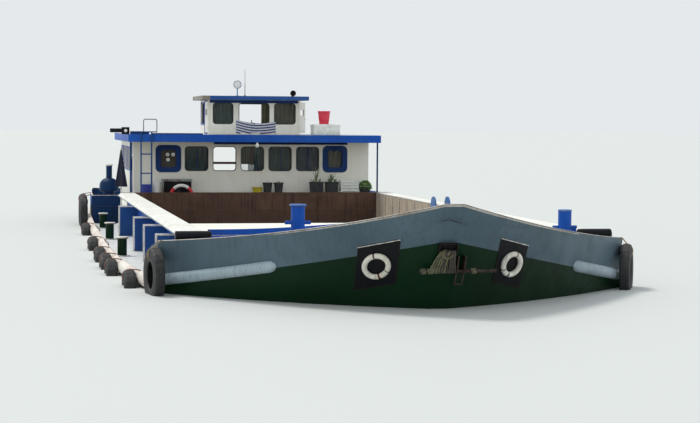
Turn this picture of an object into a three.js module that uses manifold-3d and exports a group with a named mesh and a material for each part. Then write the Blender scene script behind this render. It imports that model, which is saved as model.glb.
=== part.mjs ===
// River barge: a steel self-propelled load barge with an open hold, a raised bow with a bulwark,
// a low deckhouse aft and a small wheelhouse on its roof.
// Millimetres. +X points to the bow, +Y to port, +Z up. The origin lies under the middle of the
// barge, in the plane of its flat bottom.

import * as THREE from "three";
import { mergeVertices } from "three/addons/utils/BufferGeometryUtils.js";
import Module from "manifold-3d";

const wasm = await Module();
wasm.setup();

// Driving dimensions
const GAP = 0.3;
const HALF_LENGTH = 15000;
const WATERLINE = 1950;
const SIDE_DECK = 2050;
const AFT_DECK = 2550;
const COAMING_TOP = 3030;
const BILGE = 180;
const HOLD = { aft: -7300, fore: 7700, half: 3530, floor: 350 };
const TRUNK_FRONT = 10750;
const WALL = 200;
const COAMING_HALF = HOLD.half + WALL;
const POOP_FRONT = -9200;

// Half breadth of the hull at the side deck, by station from stern to shoulder
const SIDE_STATIONS = [
  { x: -15000, half: 4400 },
  { x: -12600, half: 4540 },
  { x: -10500, half: 4620 },
  { x: -9200, half: 4650 },
  { x: -7300, half: 4700 },
  { x: -4300, half: 4770 },
  { x: 2400, half: 4850 },
  { x: 6500, half: 4800 },
  { x: 7700, half: 4740 },
  { x: 9100, half: 4640 },
  { x: 10300, half: 4480 },
  { x: 10755, half: 4390 },
];

// The bow's outlines in plan, from keel to sheer. Each runs from the shoulder to the flat nose.
const NOSE_HALF = 170;
const BOW_LINES = {
  keel: { nose: 11600, shoulder: 9300, half: 4200 },
  water: { nose: 13950, shoulder: 10790, half: 4330 },
  knuckle: { nose: 14580, shoulder: 10800, half: 4370 },
  sheer: { nose: 15000, shoulder: 10760, half: 4430 },
};
const BOW_STATIONS = [1, 0.88, 0.75, 0.62, 0.49, 0.36, 0.24, 0.12, 0];
const KNUCKLE_Z = { nose: 3100, drop: 930 };
const SHEER_Z = { nose: 3750, drop: 850 };

// Deckhouse and wheelhouse
const HOUSE = { front: -8300, back: -13600, half: 3500, top: 4480, wall: 60 };
const HOUSE_ROOF = { front: -7420, back: -13900, half: 3700, top: 4700, plate: 50 };
const WHEELHOUSE = { front: -8900, back: -10900, y: 130, half: 1380, top: 5720, wall: 50 };
const WHEELHOUSE_ROOF = { front: -8500, back: -11150, half: 1600, top: 5840 };
const FRONT_WINDOW = { pitch: 826, width: 660, low: 3640, high: 4330, round: 90 };
const DOOR_GAP = 8;

// Running gear
const SHAFT = { z: 620, r: 45, bore: 60, propellerX: -13250 };
const RUDDER = { x: -14150, stockR: 50, boreR: 60, front: -13950, back: -14930, low: 150, high: 1330 };
const ENGINE_WELL = { aft: -10400, fore: -8500, half: 1000, floor: 300 };

// Geometry helpers

// A geometry with merged corners as a manifold-3d solid whose faces point out.
function solidOf(geometry) {
  const bare = geometry.index ? geometry.toNonIndexed() : geometry.clone();
  bare.deleteAttribute("normal");
  bare.deleteAttribute("uv");
  const merged = outward(mergeVertices(bare, 1e-3));
  return new wasm.Manifold(
    new wasm.Mesh({
      numProp: 3,
      vertProperties: new Float32Array(merged.attributes.position.array),
      triVerts: new Uint32Array(merged.index.array),
    }),
  );
}

function geometryOf(solid) {
  const mesh = solid.getMesh();
  const positions = new Float32Array(mesh.numVert * 3);
  for (let i = 0; i < mesh.numVert; i++) {
    for (let k = 0; k < 3; k++) {
      positions[i * 3 + k] = mesh.vertProperties[i * mesh.numProp + k];
    }
  }
  const geometry = new THREE.BufferGeometry();
  geometry.setAttribute("position", new THREE.BufferAttribute(positions, 3));
  geometry.setIndex(new THREE.BufferAttribute(new Uint32Array(mesh.triVerts), 1));
  geometry.computeVertexNormals();
  return geometry;
}

function join(...geometries) {
  return geometryOf(geometries.map(solidOf).reduce((sum, next) => sum.add(next)));
}

function cut(geometry, ...tools) {
  return geometryOf(tools.map(solidOf).reduce((rest, tool) => rest.subtract(tool), solidOf(geometry)));
}

// What is left when the slivers of a cut are dropped.
function largestBody(geometry) {
  const bodies = solidOf(geometry).decompose();
  return geometryOf(bodies.reduce((most, body) => (body.volume() > most.volume() ? body : most)));
}

// A box between two values on each axis. Its corners hold those very values, so that the faces of
// two boxes meant to share a plane do.
function block(...spans) {
  const box = new THREE.BoxGeometry(2, 2, 2);
  const at = box.attributes.position.array;
  at.forEach((v, i) => {
    const [a, b] = spans[i % 3];
    at[i] = v > 0 ? Math.max(a, b) : Math.min(a, b);
  });
  return box;
}

// A round bar between two points.
function bar(from, to, radius, sides = 12) {
  const a = new THREE.Vector3(...from);
  const b = new THREE.Vector3(...to);
  const length = a.distanceTo(b);
  const cylinder = new THREE.CylinderGeometry(radius, radius, length, sides);
  const turn = new THREE.Quaternion().setFromUnitVectors(
    new THREE.Vector3(0, 1, 0),
    b.clone().sub(a).normalize(),
  );
  return cylinder.applyQuaternion(turn).translate((a.x + b.x) / 2, (a.y + b.y) / 2, (a.z + b.z) / 2);
}

// A vertical revolved body from [radius, z] pairs, standing at x, y.
function turned(profile, x, y, sides = 16) {
  const points = profile.map(([r, z]) => new THREE.Vector2(r, z));
  return new THREE.LatheGeometry(points, sides).rotateX(Math.PI / 2).translate(x, y, 0);
}

// A flat outline of [x, z] pairs, extruded across the boat from y0 to y1.
function slabXZ(outline, y0, y1) {
  const shape = new THREE.Shape(outline.map(([x, z]) => new THREE.Vector2(x, z)));
  const slab = new THREE.ExtrudeGeometry(shape, { depth: y1 - y0, bevelEnabled: false });
  return slab.rotateX(Math.PI / 2).translate(0, y1, 0);
}

// A flat outline of [y, z] pairs, extruded along the boat from x0 to x1.
function slabYZ(outline, x0, x1) {
  const shape = new THREE.Shape(outline.map(([y, z]) => new THREE.Vector2(y, z)));
  const slab = new THREE.ExtrudeGeometry(shape, { depth: x1 - x0, bevelEnabled: false });
  return slab.rotateY(Math.PI / 2).rotateX(Math.PI / 2).translate(x0, 0, 0);
}

// A window hole with rounded corners through a wall that faces fore and aft.
function roundedHole(y, z, width, height, round, x0, x1) {
  const shape = new THREE.Shape();
  const [w, h] = [width / 2, height / 2];
  shape.moveTo(y - w + round, z - h);
  shape.lineTo(y + w - round, z - h);
  shape.absarc(y + w - round, z - h + round, round, -Math.PI / 2, 0);
  shape.lineTo(y + w, z + h - round);
  shape.absarc(y + w - round, z + h - round, round, 0, Math.PI / 2);
  shape.lineTo(y - w + round, z + h);
  shape.absarc(y - w + round, z + h - round, round, Math.PI / 2, Math.PI);
  shape.lineTo(y - w, z - h + round);
  shape.absarc(y - w + round, z - h + round, round, Math.PI, 1.5 * Math.PI);
  const slab = new THREE.ExtrudeGeometry(shape, { depth: x1 - x0, bevelEnabled: false, curveSegments: 2 });
  return slab.rotateY(Math.PI / 2).rotateX(Math.PI / 2).translate(x0, 0, 0);
}

function distance(p, q) {
  return Math.hypot(p[0] - q[0], p[1] - q[1], p[2] - q[2]);
}

// A closed body through rings of points that all have the same count; the ends are capped. Each
// quad is split along its shorter diagonal, so that port and starboard are alike.
// project gives the two coordinates in which an end ring is flat enough to be filled.
function loft(rings, project = (p) => [p[1], p[2]]) {
  const count = rings[0].length;
  const positions = rings.flat(2);
  const faces = [];
  for (let i = 0; i + 1 < rings.length; i++) {
    for (let k = 0; k < count; k++) {
      const next = (k + 1) % count;
      const [a, b] = [i * count + k, i * count + next];
      const [low, high] = [rings[i], rings[i + 1]];
      const short = distance(low[k], high[next]) < distance(low[next], high[k]);
      faces.push(...(short ? [a, b, b + count, a, b + count, a + count]
        : [a, b, a + count, b, b + count, a + count]));
    }
  }
  const cap = (ring, offset, flip) => {
    const flat = ring.map((p) => new THREE.Vector2(...project(p)));
    const clockwise = THREE.ShapeUtils.isClockWise(flat);
    for (const [a, b, c] of THREE.ShapeUtils.triangulateShape(flat, [])) {
      faces.push(...(flip !== clockwise ? [a, c, b] : [a, b, c]).map((n) => n + offset));
    }
  };
  cap(rings[0], 0, true);
  cap(rings.at(-1), (rings.length - 1) * count, false);
  const geometry = new THREE.BufferGeometry();
  geometry.setAttribute("position", new THREE.Float32BufferAttribute(positions, 3));
  geometry.setIndex(faces);
  return outward(geometry);
}

// The same body with its faces pointing out.
function outward(geometry) {
  const index = geometry.index.array;
  const at = geometry.attributes.position;
  let volume = 0;
  const [a, b, c] = [new THREE.Vector3(), new THREE.Vector3(), new THREE.Vector3()];
  for (let i = 0; i < index.length; i += 3) {
    a.fromBufferAttribute(at, index[i]);
    b.fromBufferAttribute(at, index[i + 1]);
    c.fromBufferAttribute(at, index[i + 2]);
    volume += a.dot(b.cross(c));
  }
  if (volume < 0) {
    for (let i = 0; i < index.length; i += 3) {
      [index[i + 1], index[i + 2]] = [index[i + 2], index[i + 1]];
    }
  }
  return geometry;
}

// The same geometry on the other side of the boat.
function mirrored(geometry) {
  const copy = geometry.clone().scale(1, -1, 1);
  if (!copy.index) {
    copy.setIndex([...Array(copy.attributes.position.count).keys()]);
  }
  return outward(copy);
}

// Materials and the scene graph

const barge = new THREE.Group();

function paint(color, roughness = 0.6, metalness = 0.1) {
  return new THREE.MeshStandardMaterial({ color, roughness, metalness });
}

const FINISH = {
  green: paint(0x2c4a44),
  grey: paint(0x5c6a70),
  blue: paint(0x1f4fae),
  cream: paint(0xdcdccb),
  white: paint(0xe8e8e2),
  black: paint(0x1b1c1f, 0.8),
  rust: paint(0x5a3a2c, 0.9),
  rubber: paint(0x25262a, 0.9, 0),
  glass: new THREE.MeshStandardMaterial(
    { color: 0x9fb4b8, roughness: 0.1, transparent: true, opacity: 0.35 }),
  steel: paint(0x6d6f70, 0.5, 0.6),
  bronze: paint(0x9a7a3c, 0.4, 0.8),
  wood: paint(0x7a5a3a, 0.8, 0),
  red: paint(0xc03040, 0.5, 0),
  navy: paint(0x1d2140, 0.9, 0),
  ring: paint(0xd8d4c8, 0.7, 0),
};

function add(name, geometry, finish, parent = barge) {
  const mesh = new THREE.Mesh(geometry, finish);
  mesh.name = name;
  parent.add(mesh);
  return mesh;
}

// The hull's lines

function lerp(a, b, t) {
  return a + (b - a) * t;
}

function halfBreadth(x) {
  const i = SIDE_STATIONS.findIndex((s) => s.x >= x);
  if (i <= 0) {
    return SIDE_STATIONS[i < 0 ? SIDE_STATIONS.length - 1 : 0].half;
  }
  const [a, b] = [SIDE_STATIONS[i - 1], SIDE_STATIONS[i]];
  return lerp(a.half, b.half, (x - a.x) / (b.x - a.x));
}

// u is 1 at the shoulder and 0 at the nose.
function bowPoint(line, u) {
  const { nose, shoulder, half } = BOW_LINES[line];
  const x = nose - (nose - shoulder) * (0.6 * u + 0.4 * u * u);
  return [x, lerp(NOSE_HALF, half, u)];
}

function knuckleZ(u) {
  return KNUCKLE_Z.nose - KNUCKLE_Z.drop * u;
}

function sheerZ(u) {
  return SHEER_Z.nose - SHEER_Z.drop * (1.4 * u - 0.4 * u * u);
}

// A ring across the boat: the port points from keel to deck, then the starboard ones back down.
function acrossBoat(portPoints) {
  return [...portPoints, ...portPoints.map(([x, y, z]) => [x, -y, z]).reverse()];
}

function stationsBetween(x0, x1) {
  const inside = SIDE_STATIONS.filter((s) => s.x > x0 && s.x < x1).map((s) => s.x);
  return [x0, ...inside, x1];
}

// Hull

function hullBow() {
  const sideRings = stationsBetween(HOLD.fore + GAP, SIDE_STATIONS.at(-1).x).map((x) => {
    const half = halfBreadth(x);
    const keelHalf = half - BILGE;
    const keelX = Math.min(x, BOW_LINES.keel.shoulder - (SIDE_STATIONS.at(-1).x - x) * 0.2);
    return acrossBoat([
      [keelX, keelHalf, 0],
      [x, half, WATERLINE - 150],
      [x, half, SIDE_DECK],
    ]);
  });
  const bowRings = BOW_STATIONS.map((u) => {
    const [kx, ky] = bowPoint("keel", u);
    const [wx, wy] = bowPoint("water", u);
    const [nx, ny] = bowPoint("knuckle", u);
    return acrossBoat([
      [kx, ky, 0],
      [wx, wy, WATERLINE],
      [nx, ny, knuckleZ(u)],
    ]);
  });
  return loft([...sideRings, ...bowRings]);
}

function hullWing() {
  const rings = stationsBetween(HOLD.aft + GAP, HOLD.fore - GAP).map((x) => {
    const half = halfBreadth(x);
    return [
      [x, HOLD.half + GAP, 0],
      [x, half - BILGE, 0],
      [x, half, BILGE],
      [x, half, SIDE_DECK],
      [x, HOLD.half + GAP, SIDE_DECK],
    ];
  });
  const bollards = DECK_BOLLARDS.map(({ x }) => deckBollard(x, halfBreadth(x) - 270));
  return join(loft(rings), ...bollards);
}

// Mooring bollards along the side deck: a post with a wider cap on a square foot
const DECK_BOLLARDS = [{ x: -6900 }, { x: -2300 }, { x: 3250 }];

function deckBollard(x, y) {
  return join(
    block([x - 170, x + 170], [y - 170, y + 170], [SIDE_DECK - 20, SIDE_DECK + 15]),
    turned([[0, SIDE_DECK], [105, SIDE_DECK], [105, SIDE_DECK + 380], [135, SIDE_DECK + 385],
      [135, SIDE_DECK + 420], [0, SIDE_DECK + 420]], x, y, 14),
  );
}

function bottomZ(x) {
  if (x >= -10500) {
    return 0;
  }
  return x >= -12600 ? lerp(0, 1250, (-10500 - x) / 2100) : lerp(1250, 1500, (-12600 - x) / 2400);
}

function sternRing(x, deck, shift = 0) {
  const half = halfBreadth(x) - shift;
  const low = bottomZ(x);
  return acrossBoat([
    [x, half - BILGE, low],
    [x, half, low + BILGE],
    [x, half, deck],
  ]);
}

function hullStern() {
  const lower = loft(stationsBetween(-HALF_LENGTH, HOLD.aft - GAP).map((x) => sternRing(x, SIDE_DECK)));
  const poop = loft(stationsBetween(-HALF_LENGTH, POOP_FRONT).map((x) => sternRing(x, AFT_DECK)));
  const middle = block([POOP_FRONT - 100, HOLD.aft - GAP], [-COAMING_HALF, COAMING_HALF], [1000, AFT_DECK]);
  const skeg = slabXZ([[-10450, 0], [-10450, 200], [-12650, 1400], [-12750, 1400], [-12750, 80],
    [-14900, 80], [-14900, 0]], -60, 60);
  const boss = bar([-11000, 0, SHAFT.z], [-12900, 0, SHAFT.z], 120, 16);
  const well = block([ENGINE_WELL.aft, ENGINE_WELL.fore], [-ENGINE_WELL.half, ENGINE_WELL.half],
    [ENGINE_WELL.floor, AFT_DECK + 10]);
  const shaftBore = bar([-10300, 0, SHAFT.z], [-13000, 0, SHAFT.z], SHAFT.bore, 16);
  const stockBore = bar([RUDDER.x, 0, 1200], [RUDDER.x, 0, AFT_DECK + 10], RUDDER.boreR, 16);
  const pintleHole = bar([RUDDER.x, 0, 30], [RUDDER.x, 0, 100], 34, 12);
  return cut(join(lower, poop, middle, skeg, boss), well, shaftBore, stockBore, pintleHole);
}

add("hull_bow", hullBow(), FINISH.green);
add("hull_wing_port", hullWing(), FINISH.green);
add("hull_wing_starboard", mirrored(hullWing()), FINISH.green);
add("hull_bottom",
  block([HOLD.aft + GAP, HOLD.fore - GAP], [-HOLD.half, HOLD.half], [0, HOLD.floor]), FINISH.rust);
add("hull_stern", hullStern(), FINISH.green);

// Bow bulwark: plate above the knuckle, with the half round bolsters that run in from the shoulders

const BULWARK = { thick: 50, returnTop: 2780, aft: 10320 };
const BOLSTER = { r: 105, inner: 0.6 };

// Outward normal in plan of a run of [x, y] points.
function planNormal(before, after) {
  const [dx, dy] = [after[0] - before[0], after[1] - before[1]];
  const length = Math.hypot(dx, dy);
  return [-dy / length, dx / length];
}

// Stations of the bulwark on the port side, from its aft end to the nose: foot, head and normal.
function bulwarkStations() {
  const sides = [BULWARK.aft, SIDE_STATIONS.at(-1).x].map((x, i) => ({
    foot: [x, halfBreadth(x), SIDE_DECK],
    head: [x, halfBreadth(x) + 30, lerp(BULWARK.returnTop, sheerZ(1), i)],
  }));
  const bows = BOW_STATIONS.map((u) => ({
    foot: [...bowPoint("knuckle", u), knuckleZ(u)],
    head: [...bowPoint("sheer", u), sheerZ(u)],
  }));
  const all = [...sides, ...bows];
  return all.map((s, i) => {
    const before = all[Math.max(i - 1, 0)].head;
    const after = all[Math.min(i + 1, all.length - 1)].head;
    const [nx, ny] = i === all.length - 1 ? [1, 0.1] : planNormal(before, after);
    return { ...s, normal: [nx, ny] };
  });
}

function bothSides(stations) {
  const mirror = ([x, y, z]) => [x, -y, z];
  const starboard = stations.map((s) => ({
    foot: mirror(s.foot),
    head: mirror(s.head),
    normal: [s.normal[0], -s.normal[1]],
  }));
  return [...stations, ...starboard.reverse()];
}

function bulwarkPlate(thick) {
  const inward = ([x, y, z], [nx, ny]) => [x - nx * thick, y - ny * thick, z];
  const rings = bothSides(bulwarkStations()).map(({ foot, head, normal }) => {
    const low = [foot[0], foot[1], foot[2] + GAP];
    return [low, head, inward(head, normal), inward(low, normal)];
  });
  return loft(rings, (p) => [p[0] + p[1], p[2]]);
}

function bowBulwark() {
  const bolsters = [1, -1].map((side) => {
    const path = bulwarkStations().slice(2).filter((_, i) => BOW_STATIONS[i] >= BOLSTER.inner);
    const sections = path.map(({ foot, normal }, i) => {
      const r = i === path.length - 1 ? BOLSTER.r * 0.7 : BOLSTER.r;
      const ring = [];
      for (let k = 0; k <= 6; k++) {
        const angle = -Math.PI / 2 + (k * Math.PI) / 6;
        const out = 4 + r * Math.cos(angle);
        const z = foot[2] + r + 4 + r * Math.sin(angle);
        ring.push([foot[0] + normal[0] * out, side * (foot[1] + normal[1] * out), z]);
      }
      const back = -25;
      ring.push([foot[0] + normal[0] * back, side * (foot[1] + normal[1] * back), foot[2] + 2 * r + 4]);
      ring.push([foot[0] + normal[0] * back, side * (foot[1] + normal[1] * back), foot[2] + 4]);
      return ring;
    });
    return loft(sections);
  });
  return join(bulwarkPlate(BULWARK.thick), ...bolsters);
}

add("bow_bulwark", bowBulwark(), FINISH.grey);

// Tyre fenders

// A tyre as a turned ring of six sides; its axis runs across the boat.
function tyre(radius, width, hole) {
  const [r, w, shoulder] = [radius, width / 2, width * 0.26];
  const section = [[hole, -w * 0.86], [r - shoulder, -w], [r, -w + shoulder],
    [r, w - shoulder], [r - shoulder, w], [hole, w * 0.86], [hole, -w * 0.86]];
  return new THREE.LatheGeometry(section.map(([a, b]) => new THREE.Vector2(a, b)), 18);
}

const RAIL = { low: 1975, high: 2245, out: 130, aft: -14800, fore: 10300 };
const SIDE_TYRES = [
  { x: -10900, z: 2280, r: 560, width: 230 },
  { x: -9650, z: 2240, r: 560, width: 230 },
  ...[-5600, 0, 3400, 5300, 6800, 9400].map((x) => ({ x, z: 1790, r: 470, width: 240 })),
];

function fenderRail() {
  const middle = (RAIL.low + RAIL.high) / 2;
  const half = (RAIL.high - RAIL.low) / 2;
  const rings = stationsBetween(RAIL.aft, RAIL.fore - GAP).map((x) => {
    const y = halfBreadth(x) + 0.6;
    const sides = [[0.7, -0.75], [1, -0.3], [1, 0.3], [0.7, 0.75]].map(([out, up]) =>
      [x, y + RAIL.out * out, middle + half * up]);
    return [[x, y, RAIL.low], ...sides, [x, y, RAIL.high]];
  });
  const tyres = SIDE_TYRES.map(({ x, z, r, width }) =>
    tyre(r, width, r * 0.52).translate(x, halfBreadth(x) + RAIL.out + width / 2 - 12, z));
  return join(loft(rings), ...tyres);
}

add("fender_rail_port", fenderRail(), FINISH.rubber);
add("fender_rail_starboard", mirrored(fenderRail()), FINISH.rubber);

// A large tyre hangs on a rope over each shoulder of the bow. The port one has swung round to the corner
// that it guards.
const SHOULDER_TYRE = { z: 2290, r: 500, width: 210 };
const SHOULDER_TYRES = [
  { name: "shoulder_tyre_port", x: 10930.2, y: 4456.3, turn: -25 },
  { name: "shoulder_tyre_starboard", x: 10930.2, y: -4496.1, turn: 9 },
];

for (const { name, x, y, turn } of SHOULDER_TYRES) {
  const { z, r, width } = SHOULDER_TYRE;
  const mesh = add(name, tyre(r, width, r * 0.5), FINISH.rubber);
  mesh.position.set(x, y, z);
  mesh.rotation.z = THREE.MathUtils.degToRad(turn);
}

// Coamings round the hold

const CAP = { inner: HOLD.half, outer: 3920, thick: 30, lipY: 4010, lipZ: 2945 };
const BRACKETS = [{ x: -3400 }, { x: 1900 }, { x: 4900 }, { x: 8000 }];
const BRACKET = { outer: 4230, top: 2850, plate: 14, flange: 70 };

function coamingSide() {
  const fore = TRUNK_FRONT - GAP;
  const head = COAMING_TOP - CAP.thick - GAP;
  const wall = block([HOLD.aft, fore], [HOLD.half + GAP, COAMING_HALF], [SIDE_DECK + GAP, head]);
  const brackets = BRACKETS.map(({ x }) => {
    const flange = [x - BRACKET.flange / 2, x + BRACKET.flange / 2];
    return join(
      block([x - BRACKET.plate / 2, x + BRACKET.plate / 2], [COAMING_HALF - 20, BRACKET.outer - 6],
        [SIDE_DECK + 5, BRACKET.top - 6]),
      block(flange, [BRACKET.outer - 14, BRACKET.outer], [SIDE_DECK + 1, BRACKET.top]),
      block(flange, [COAMING_HALF - 20, BRACKET.outer], [BRACKET.top - 14, BRACKET.top]),
    );
  });
  return join(wall, ...brackets);
}

function coamingCap() {
  const top = COAMING_TOP;
  const under = COAMING_TOP - CAP.thick;
  return slabYZ([[CAP.inner, under], [CAP.outer - 14, under], [CAP.lipY - 14, CAP.lipZ], [CAP.lipY, CAP.lipZ],
    [CAP.outer, top], [CAP.inner, top]], HOLD.aft, TRUNK_FRONT - GAP);
}

add("coaming_port", coamingSide(), FINISH.blue);
add("coaming_starboard", mirrored(coamingSide()), FINISH.blue);
add("coaming_cap_port", coamingCap(), FINISH.white);
add("coaming_cap_starboard", mirrored(coamingCap()), FINISH.white);
add("coaming_aft", join(
  block([HOLD.aft - WALL, HOLD.aft - GAP], [-COAMING_HALF, COAMING_HALF], [AFT_DECK + GAP, COAMING_TOP - 20]),
  block([HOLD.aft - WALL - 40, HOLD.aft - GAP], [-CAP.outer, CAP.outer], [COAMING_TOP - 30, COAMING_TOP]),
), FINISH.rust);

// The fore trunk decks over the front of the hold between the coamings.
add("fore_trunk", block([HOLD.fore, TRUNK_FRONT], [-HOLD.half, HOLD.half], [SIDE_DECK + GAP, COAMING_TOP]),
  FINISH.cream);

// Fittings on the foredeck

// Height of the foredeck, which slopes up to the nose with the knuckle.
function foredeckZ(x) {
  const points = BOW_STATIONS.map((u) => ({ x: bowPoint("knuckle", u)[0], z: knuckleZ(u) }));
  const i = Math.max(1, points.findIndex((p) => p.x >= x));
  const [a, b] = [points[i - 1], points[i]];
  return lerp(a.z, b.z, (x - a.x) / (b.x - a.x));
}

// A fitting whose foot follows the foredeck.
function onForedeck(geometry) {
  return cut(geometry, hullBow().translate(0, 0, GAP));
}

const BOW_BOLLARDS = [
  { name: "bow_bollard_starboard", x: 12100, y: -2080, top: 3630 },
  { name: "bow_bollard_port", x: 11700, y: 2960, top: 3500 },
];

for (const { name, x, y, top } of BOW_BOLLARDS) {
  const low = foredeckZ(x) - 150;
  add(name, onForedeck(join(
    bar([x, y, low], [x, y, top - 30], 122, 18),
    bar([x, y, top - 40], [x, y, top], 150, 18),
    bar([x, y - 230, top - 330], [x, y + 230, top - 330], 32),
  )), FINISH.blue);
}

const SHOULDER_BITTS = { x: 10940, y: 3800, half: 325, z: 2990, r: 100, postR: 62, spread: 150 };

for (const [side, name] of [[1, "port"], [-1, "starboard"]]) {
  const { x, y, half, z, r, postR, spread } = SHOULDER_BITTS;
  const low = SIDE_DECK + 10;
  add("shoulder_bitts_" + name, onForedeck(join(
    bar([x, side * (y - half), z], [x, side * (y + half), z], r, 14),
    ...[-spread, spread].map((s) => bar([x, side * y + s, low], [x, side * y + s, z], postR, 10)),
  )), FINISH.black);
}

// Hand windlass just behind the stem: two tall cheeks with round tops carry the drum's axle.
const WINDLASS = { x: 14050, z: 3480, cheekY: 105, cheek: 28, topZ: 3690, topR: 150, drumR: 62, flangeR: 105,
  axleR: 27, journal: 0.6, headR: 78, headOut: 190 };

function windlassFrame() {
  const { x, z, cheekY, cheek, topZ, topR, axleR } = WINDLASS;
  const low = foredeckZ(x - 250) - 10;
  const cheekPlate = (y) => join(
    slabXZ([[x - 250, low], [x + 250, low], [x + topR - 8, topZ], [x - topR + 8, topZ]], y, y + cheek),
    bar([x, y, topZ], [x, y + cheek, topZ], topR, 20),
  );
  const tie = (dx, dz) => bar([x + dx, -cheekY - 5, low + dz], [x + dx, cheekY + 5, low + dz], 20);
  const body = join(cheekPlate(-cheekY - cheek), cheekPlate(cheekY), tie(-170, 230), tie(170, 230));
  return onForedeck(cut(body, bar([x, -400, z], [x, 400, z], axleR + WINDLASS.journal, 24)));
}

function windlassDrum() {
  const { cheekY, cheek, drumR, flangeR, axleR, headR, headOut } = WINDLASS;
  const outside = cheekY + cheek + 8;
  const disc = (y0, y1, r, sides = 12) => bar([0, y0, 0], [0, y1, 0], r, sides);
  return join(
    disc(-headOut - outside, headOut + outside, axleR, 24),
    disc(-cheekY + 8, cheekY - 8, drumR),
    disc(-cheekY + 8, -cheekY + 22, flangeR), disc(cheekY - 22, cheekY - 8, flangeR),
    disc(outside, outside + headOut - 30, headR), disc(-outside - headOut + 30, -outside, headR),
  );
}

add("windlass_frame", windlassFrame(), FINISH.blue);
add("windlass_drum", windlassDrum(), FINISH.blue).position.set(WINDLASS.x, 0, WINDLASS.z);

// Stem: hawse box on the flat of the nose, and the towing bar under it

// x of the flat nose at a height, between waterline and sheer.
function noseX(z) {
  const { water, knuckle, sheer } = BOW_LINES;
  return z < KNUCKLE_Z.nose
    ? lerp(water.nose, knuckle.nose, (z - WATERLINE) / (KNUCKLE_Z.nose - WATERLINE))
    : lerp(knuckle.nose, sheer.nose, (z - KNUCKLE_Z.nose) / (SHEER_Z.nose - KNUCKLE_Z.nose));
}

const HAWSE = { low: 2945, high: 3092, half: 160, out: 90, wall: 18, back: 24 };

function hawseBox() {
  const { low, high, half, out, wall, back } = HAWSE;
  const face = (z, d) => [noseX(z) + d, z];
  const seat = 2 * GAP;
  const body = slabXZ([face(low, seat), face(low, out), face(high, out), face(high, seat)], -half, half);
  const mouth = slabXZ([face(low + wall, back), face(low + wall, 400), face(high - wall, 400),
    face(high - wall, back)], -half + wall, half - wall);
  return cut(body, mouth);
}

// Twin lugs on the stem carry a cross bar for the tow ropes; a small frame hangs below them.
const STEM_BAR = { z: 2620, y: 220, half: 660, r: 30, out: 72, foot: 2390 };
const STEM_LUGS = { top: 2880, low: 2570, y: [198, 322], thick: 22, root: 150, frameR: 13 };

function stemBar() {
  const { z, y, half, r, out, foot } = STEM_BAR;
  const { top, low, y: lugYs, thick, root, frameR } = STEM_LUGS;
  const face = (height, d) => [noseX(height) + d, height];
  const at = (height, d, v) => [noseX(height) + d, v, height];
  const lug = (v) => slabXZ([face(low, -root), face(low, out + 50), face(top, out + 20), face(top, -root)],
    v - thick / 2, v + thick / 2);
  const lugs = cut(join(...lugYs.map(lug)), hullBow().translate(2 * GAP, 0, 0));
  return largestBody(join(
    bar(at(z, out, y - half), at(z, out, y + half), r),
    lugs,
    ...lugYs.map((v) => bar(at(low + 10, out, v), at(foot, out, v), frameR, 8)),
    bar(at(foot, out, lugYs[0] - frameR), at(foot, out, lugYs[1] + frameR), frameR + 1, 8),
  ));
}

add("hawse_box", hawseBox(), FINISH.black);
add("stem_bar", stemBar(), FINISH.steel);

// Painted patch with a white ring on each bow, which give the barge its eyes. The patch's upper and lower
// edges run with the sheer, so it is a parallelogram that is higher at its inner edge.
const EYE = { z: 2690, width: 740, height: 900, slope: 10, thick: 34, ringR: 215, tube: 50 };
const EYES = [
  { name: "bow_eye_port", side: 1, a: 1280 },
  { name: "bow_eye_starboard", side: -1, a: 1090 },
];

function bowEye({ side, a }) {
  const u = (a - NOSE_HALF) / (BOW_LINES.knuckle.half - NOSE_HALF);
  const [kx, ky] = bowPoint("knuckle", u);
  const [wx, wy] = bowPoint("water", u);
  const ahead = bowPoint("knuckle", u - 0.05);
  const heading = Math.atan2(ahead[0] - kx, ky - ahead[1]);
  const [nx, ny] = [Math.cos(heading), Math.sin(heading)];
  const rise = knuckleZ(u) - WATERLINE;
  const rake = Math.atan2((kx - wx) * nx + (ky - wy) * ny, rise);
  const share = (EYE.z - WATERLINE) / rise;
  const [w, h] = [EYE.width / 2, EYE.height / 2];
  const shift = w * Math.tan(THREE.MathUtils.degToRad(EYE.slope));
  const patch = slabYZ([[-w, shift - h], [w, -shift - h], [w, h - shift], [-w, h + shift]], -30, EYE.thick);
  const ring = new THREE.TorusGeometry(EYE.ringR, EYE.tube, 8, 22).rotateY(Math.PI / 2)
    .translate(EYE.thick + EYE.tube * 0.55, 0, 0);
  const eye = join(patch, ring).rotateY(rake).rotateZ(heading)
    .translate(lerp(wx, kx, share), lerp(wy, ky, share), EYE.z);
  const [dx, dy] = [nx * 3 * GAP, side * ny * 3 * GAP];
  return largestBody(cut(side > 0 ? eye : mirrored(eye),
    hullBow().translate(dx, dy, GAP), bulwarkPlate(BULWARK.thick * 4).translate(dx, dy, -2 * GAP)));
}

for (const eye of EYES) {
  add(eye.name, bowEye(eye), FINISH.ring);
}

// Aft deck: low bulwark round the poop, hooded vent, parasol, table, bench and life ring

const POOP_RAIL = { thick: 40, top: 2870, inner: 3780 };

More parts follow.
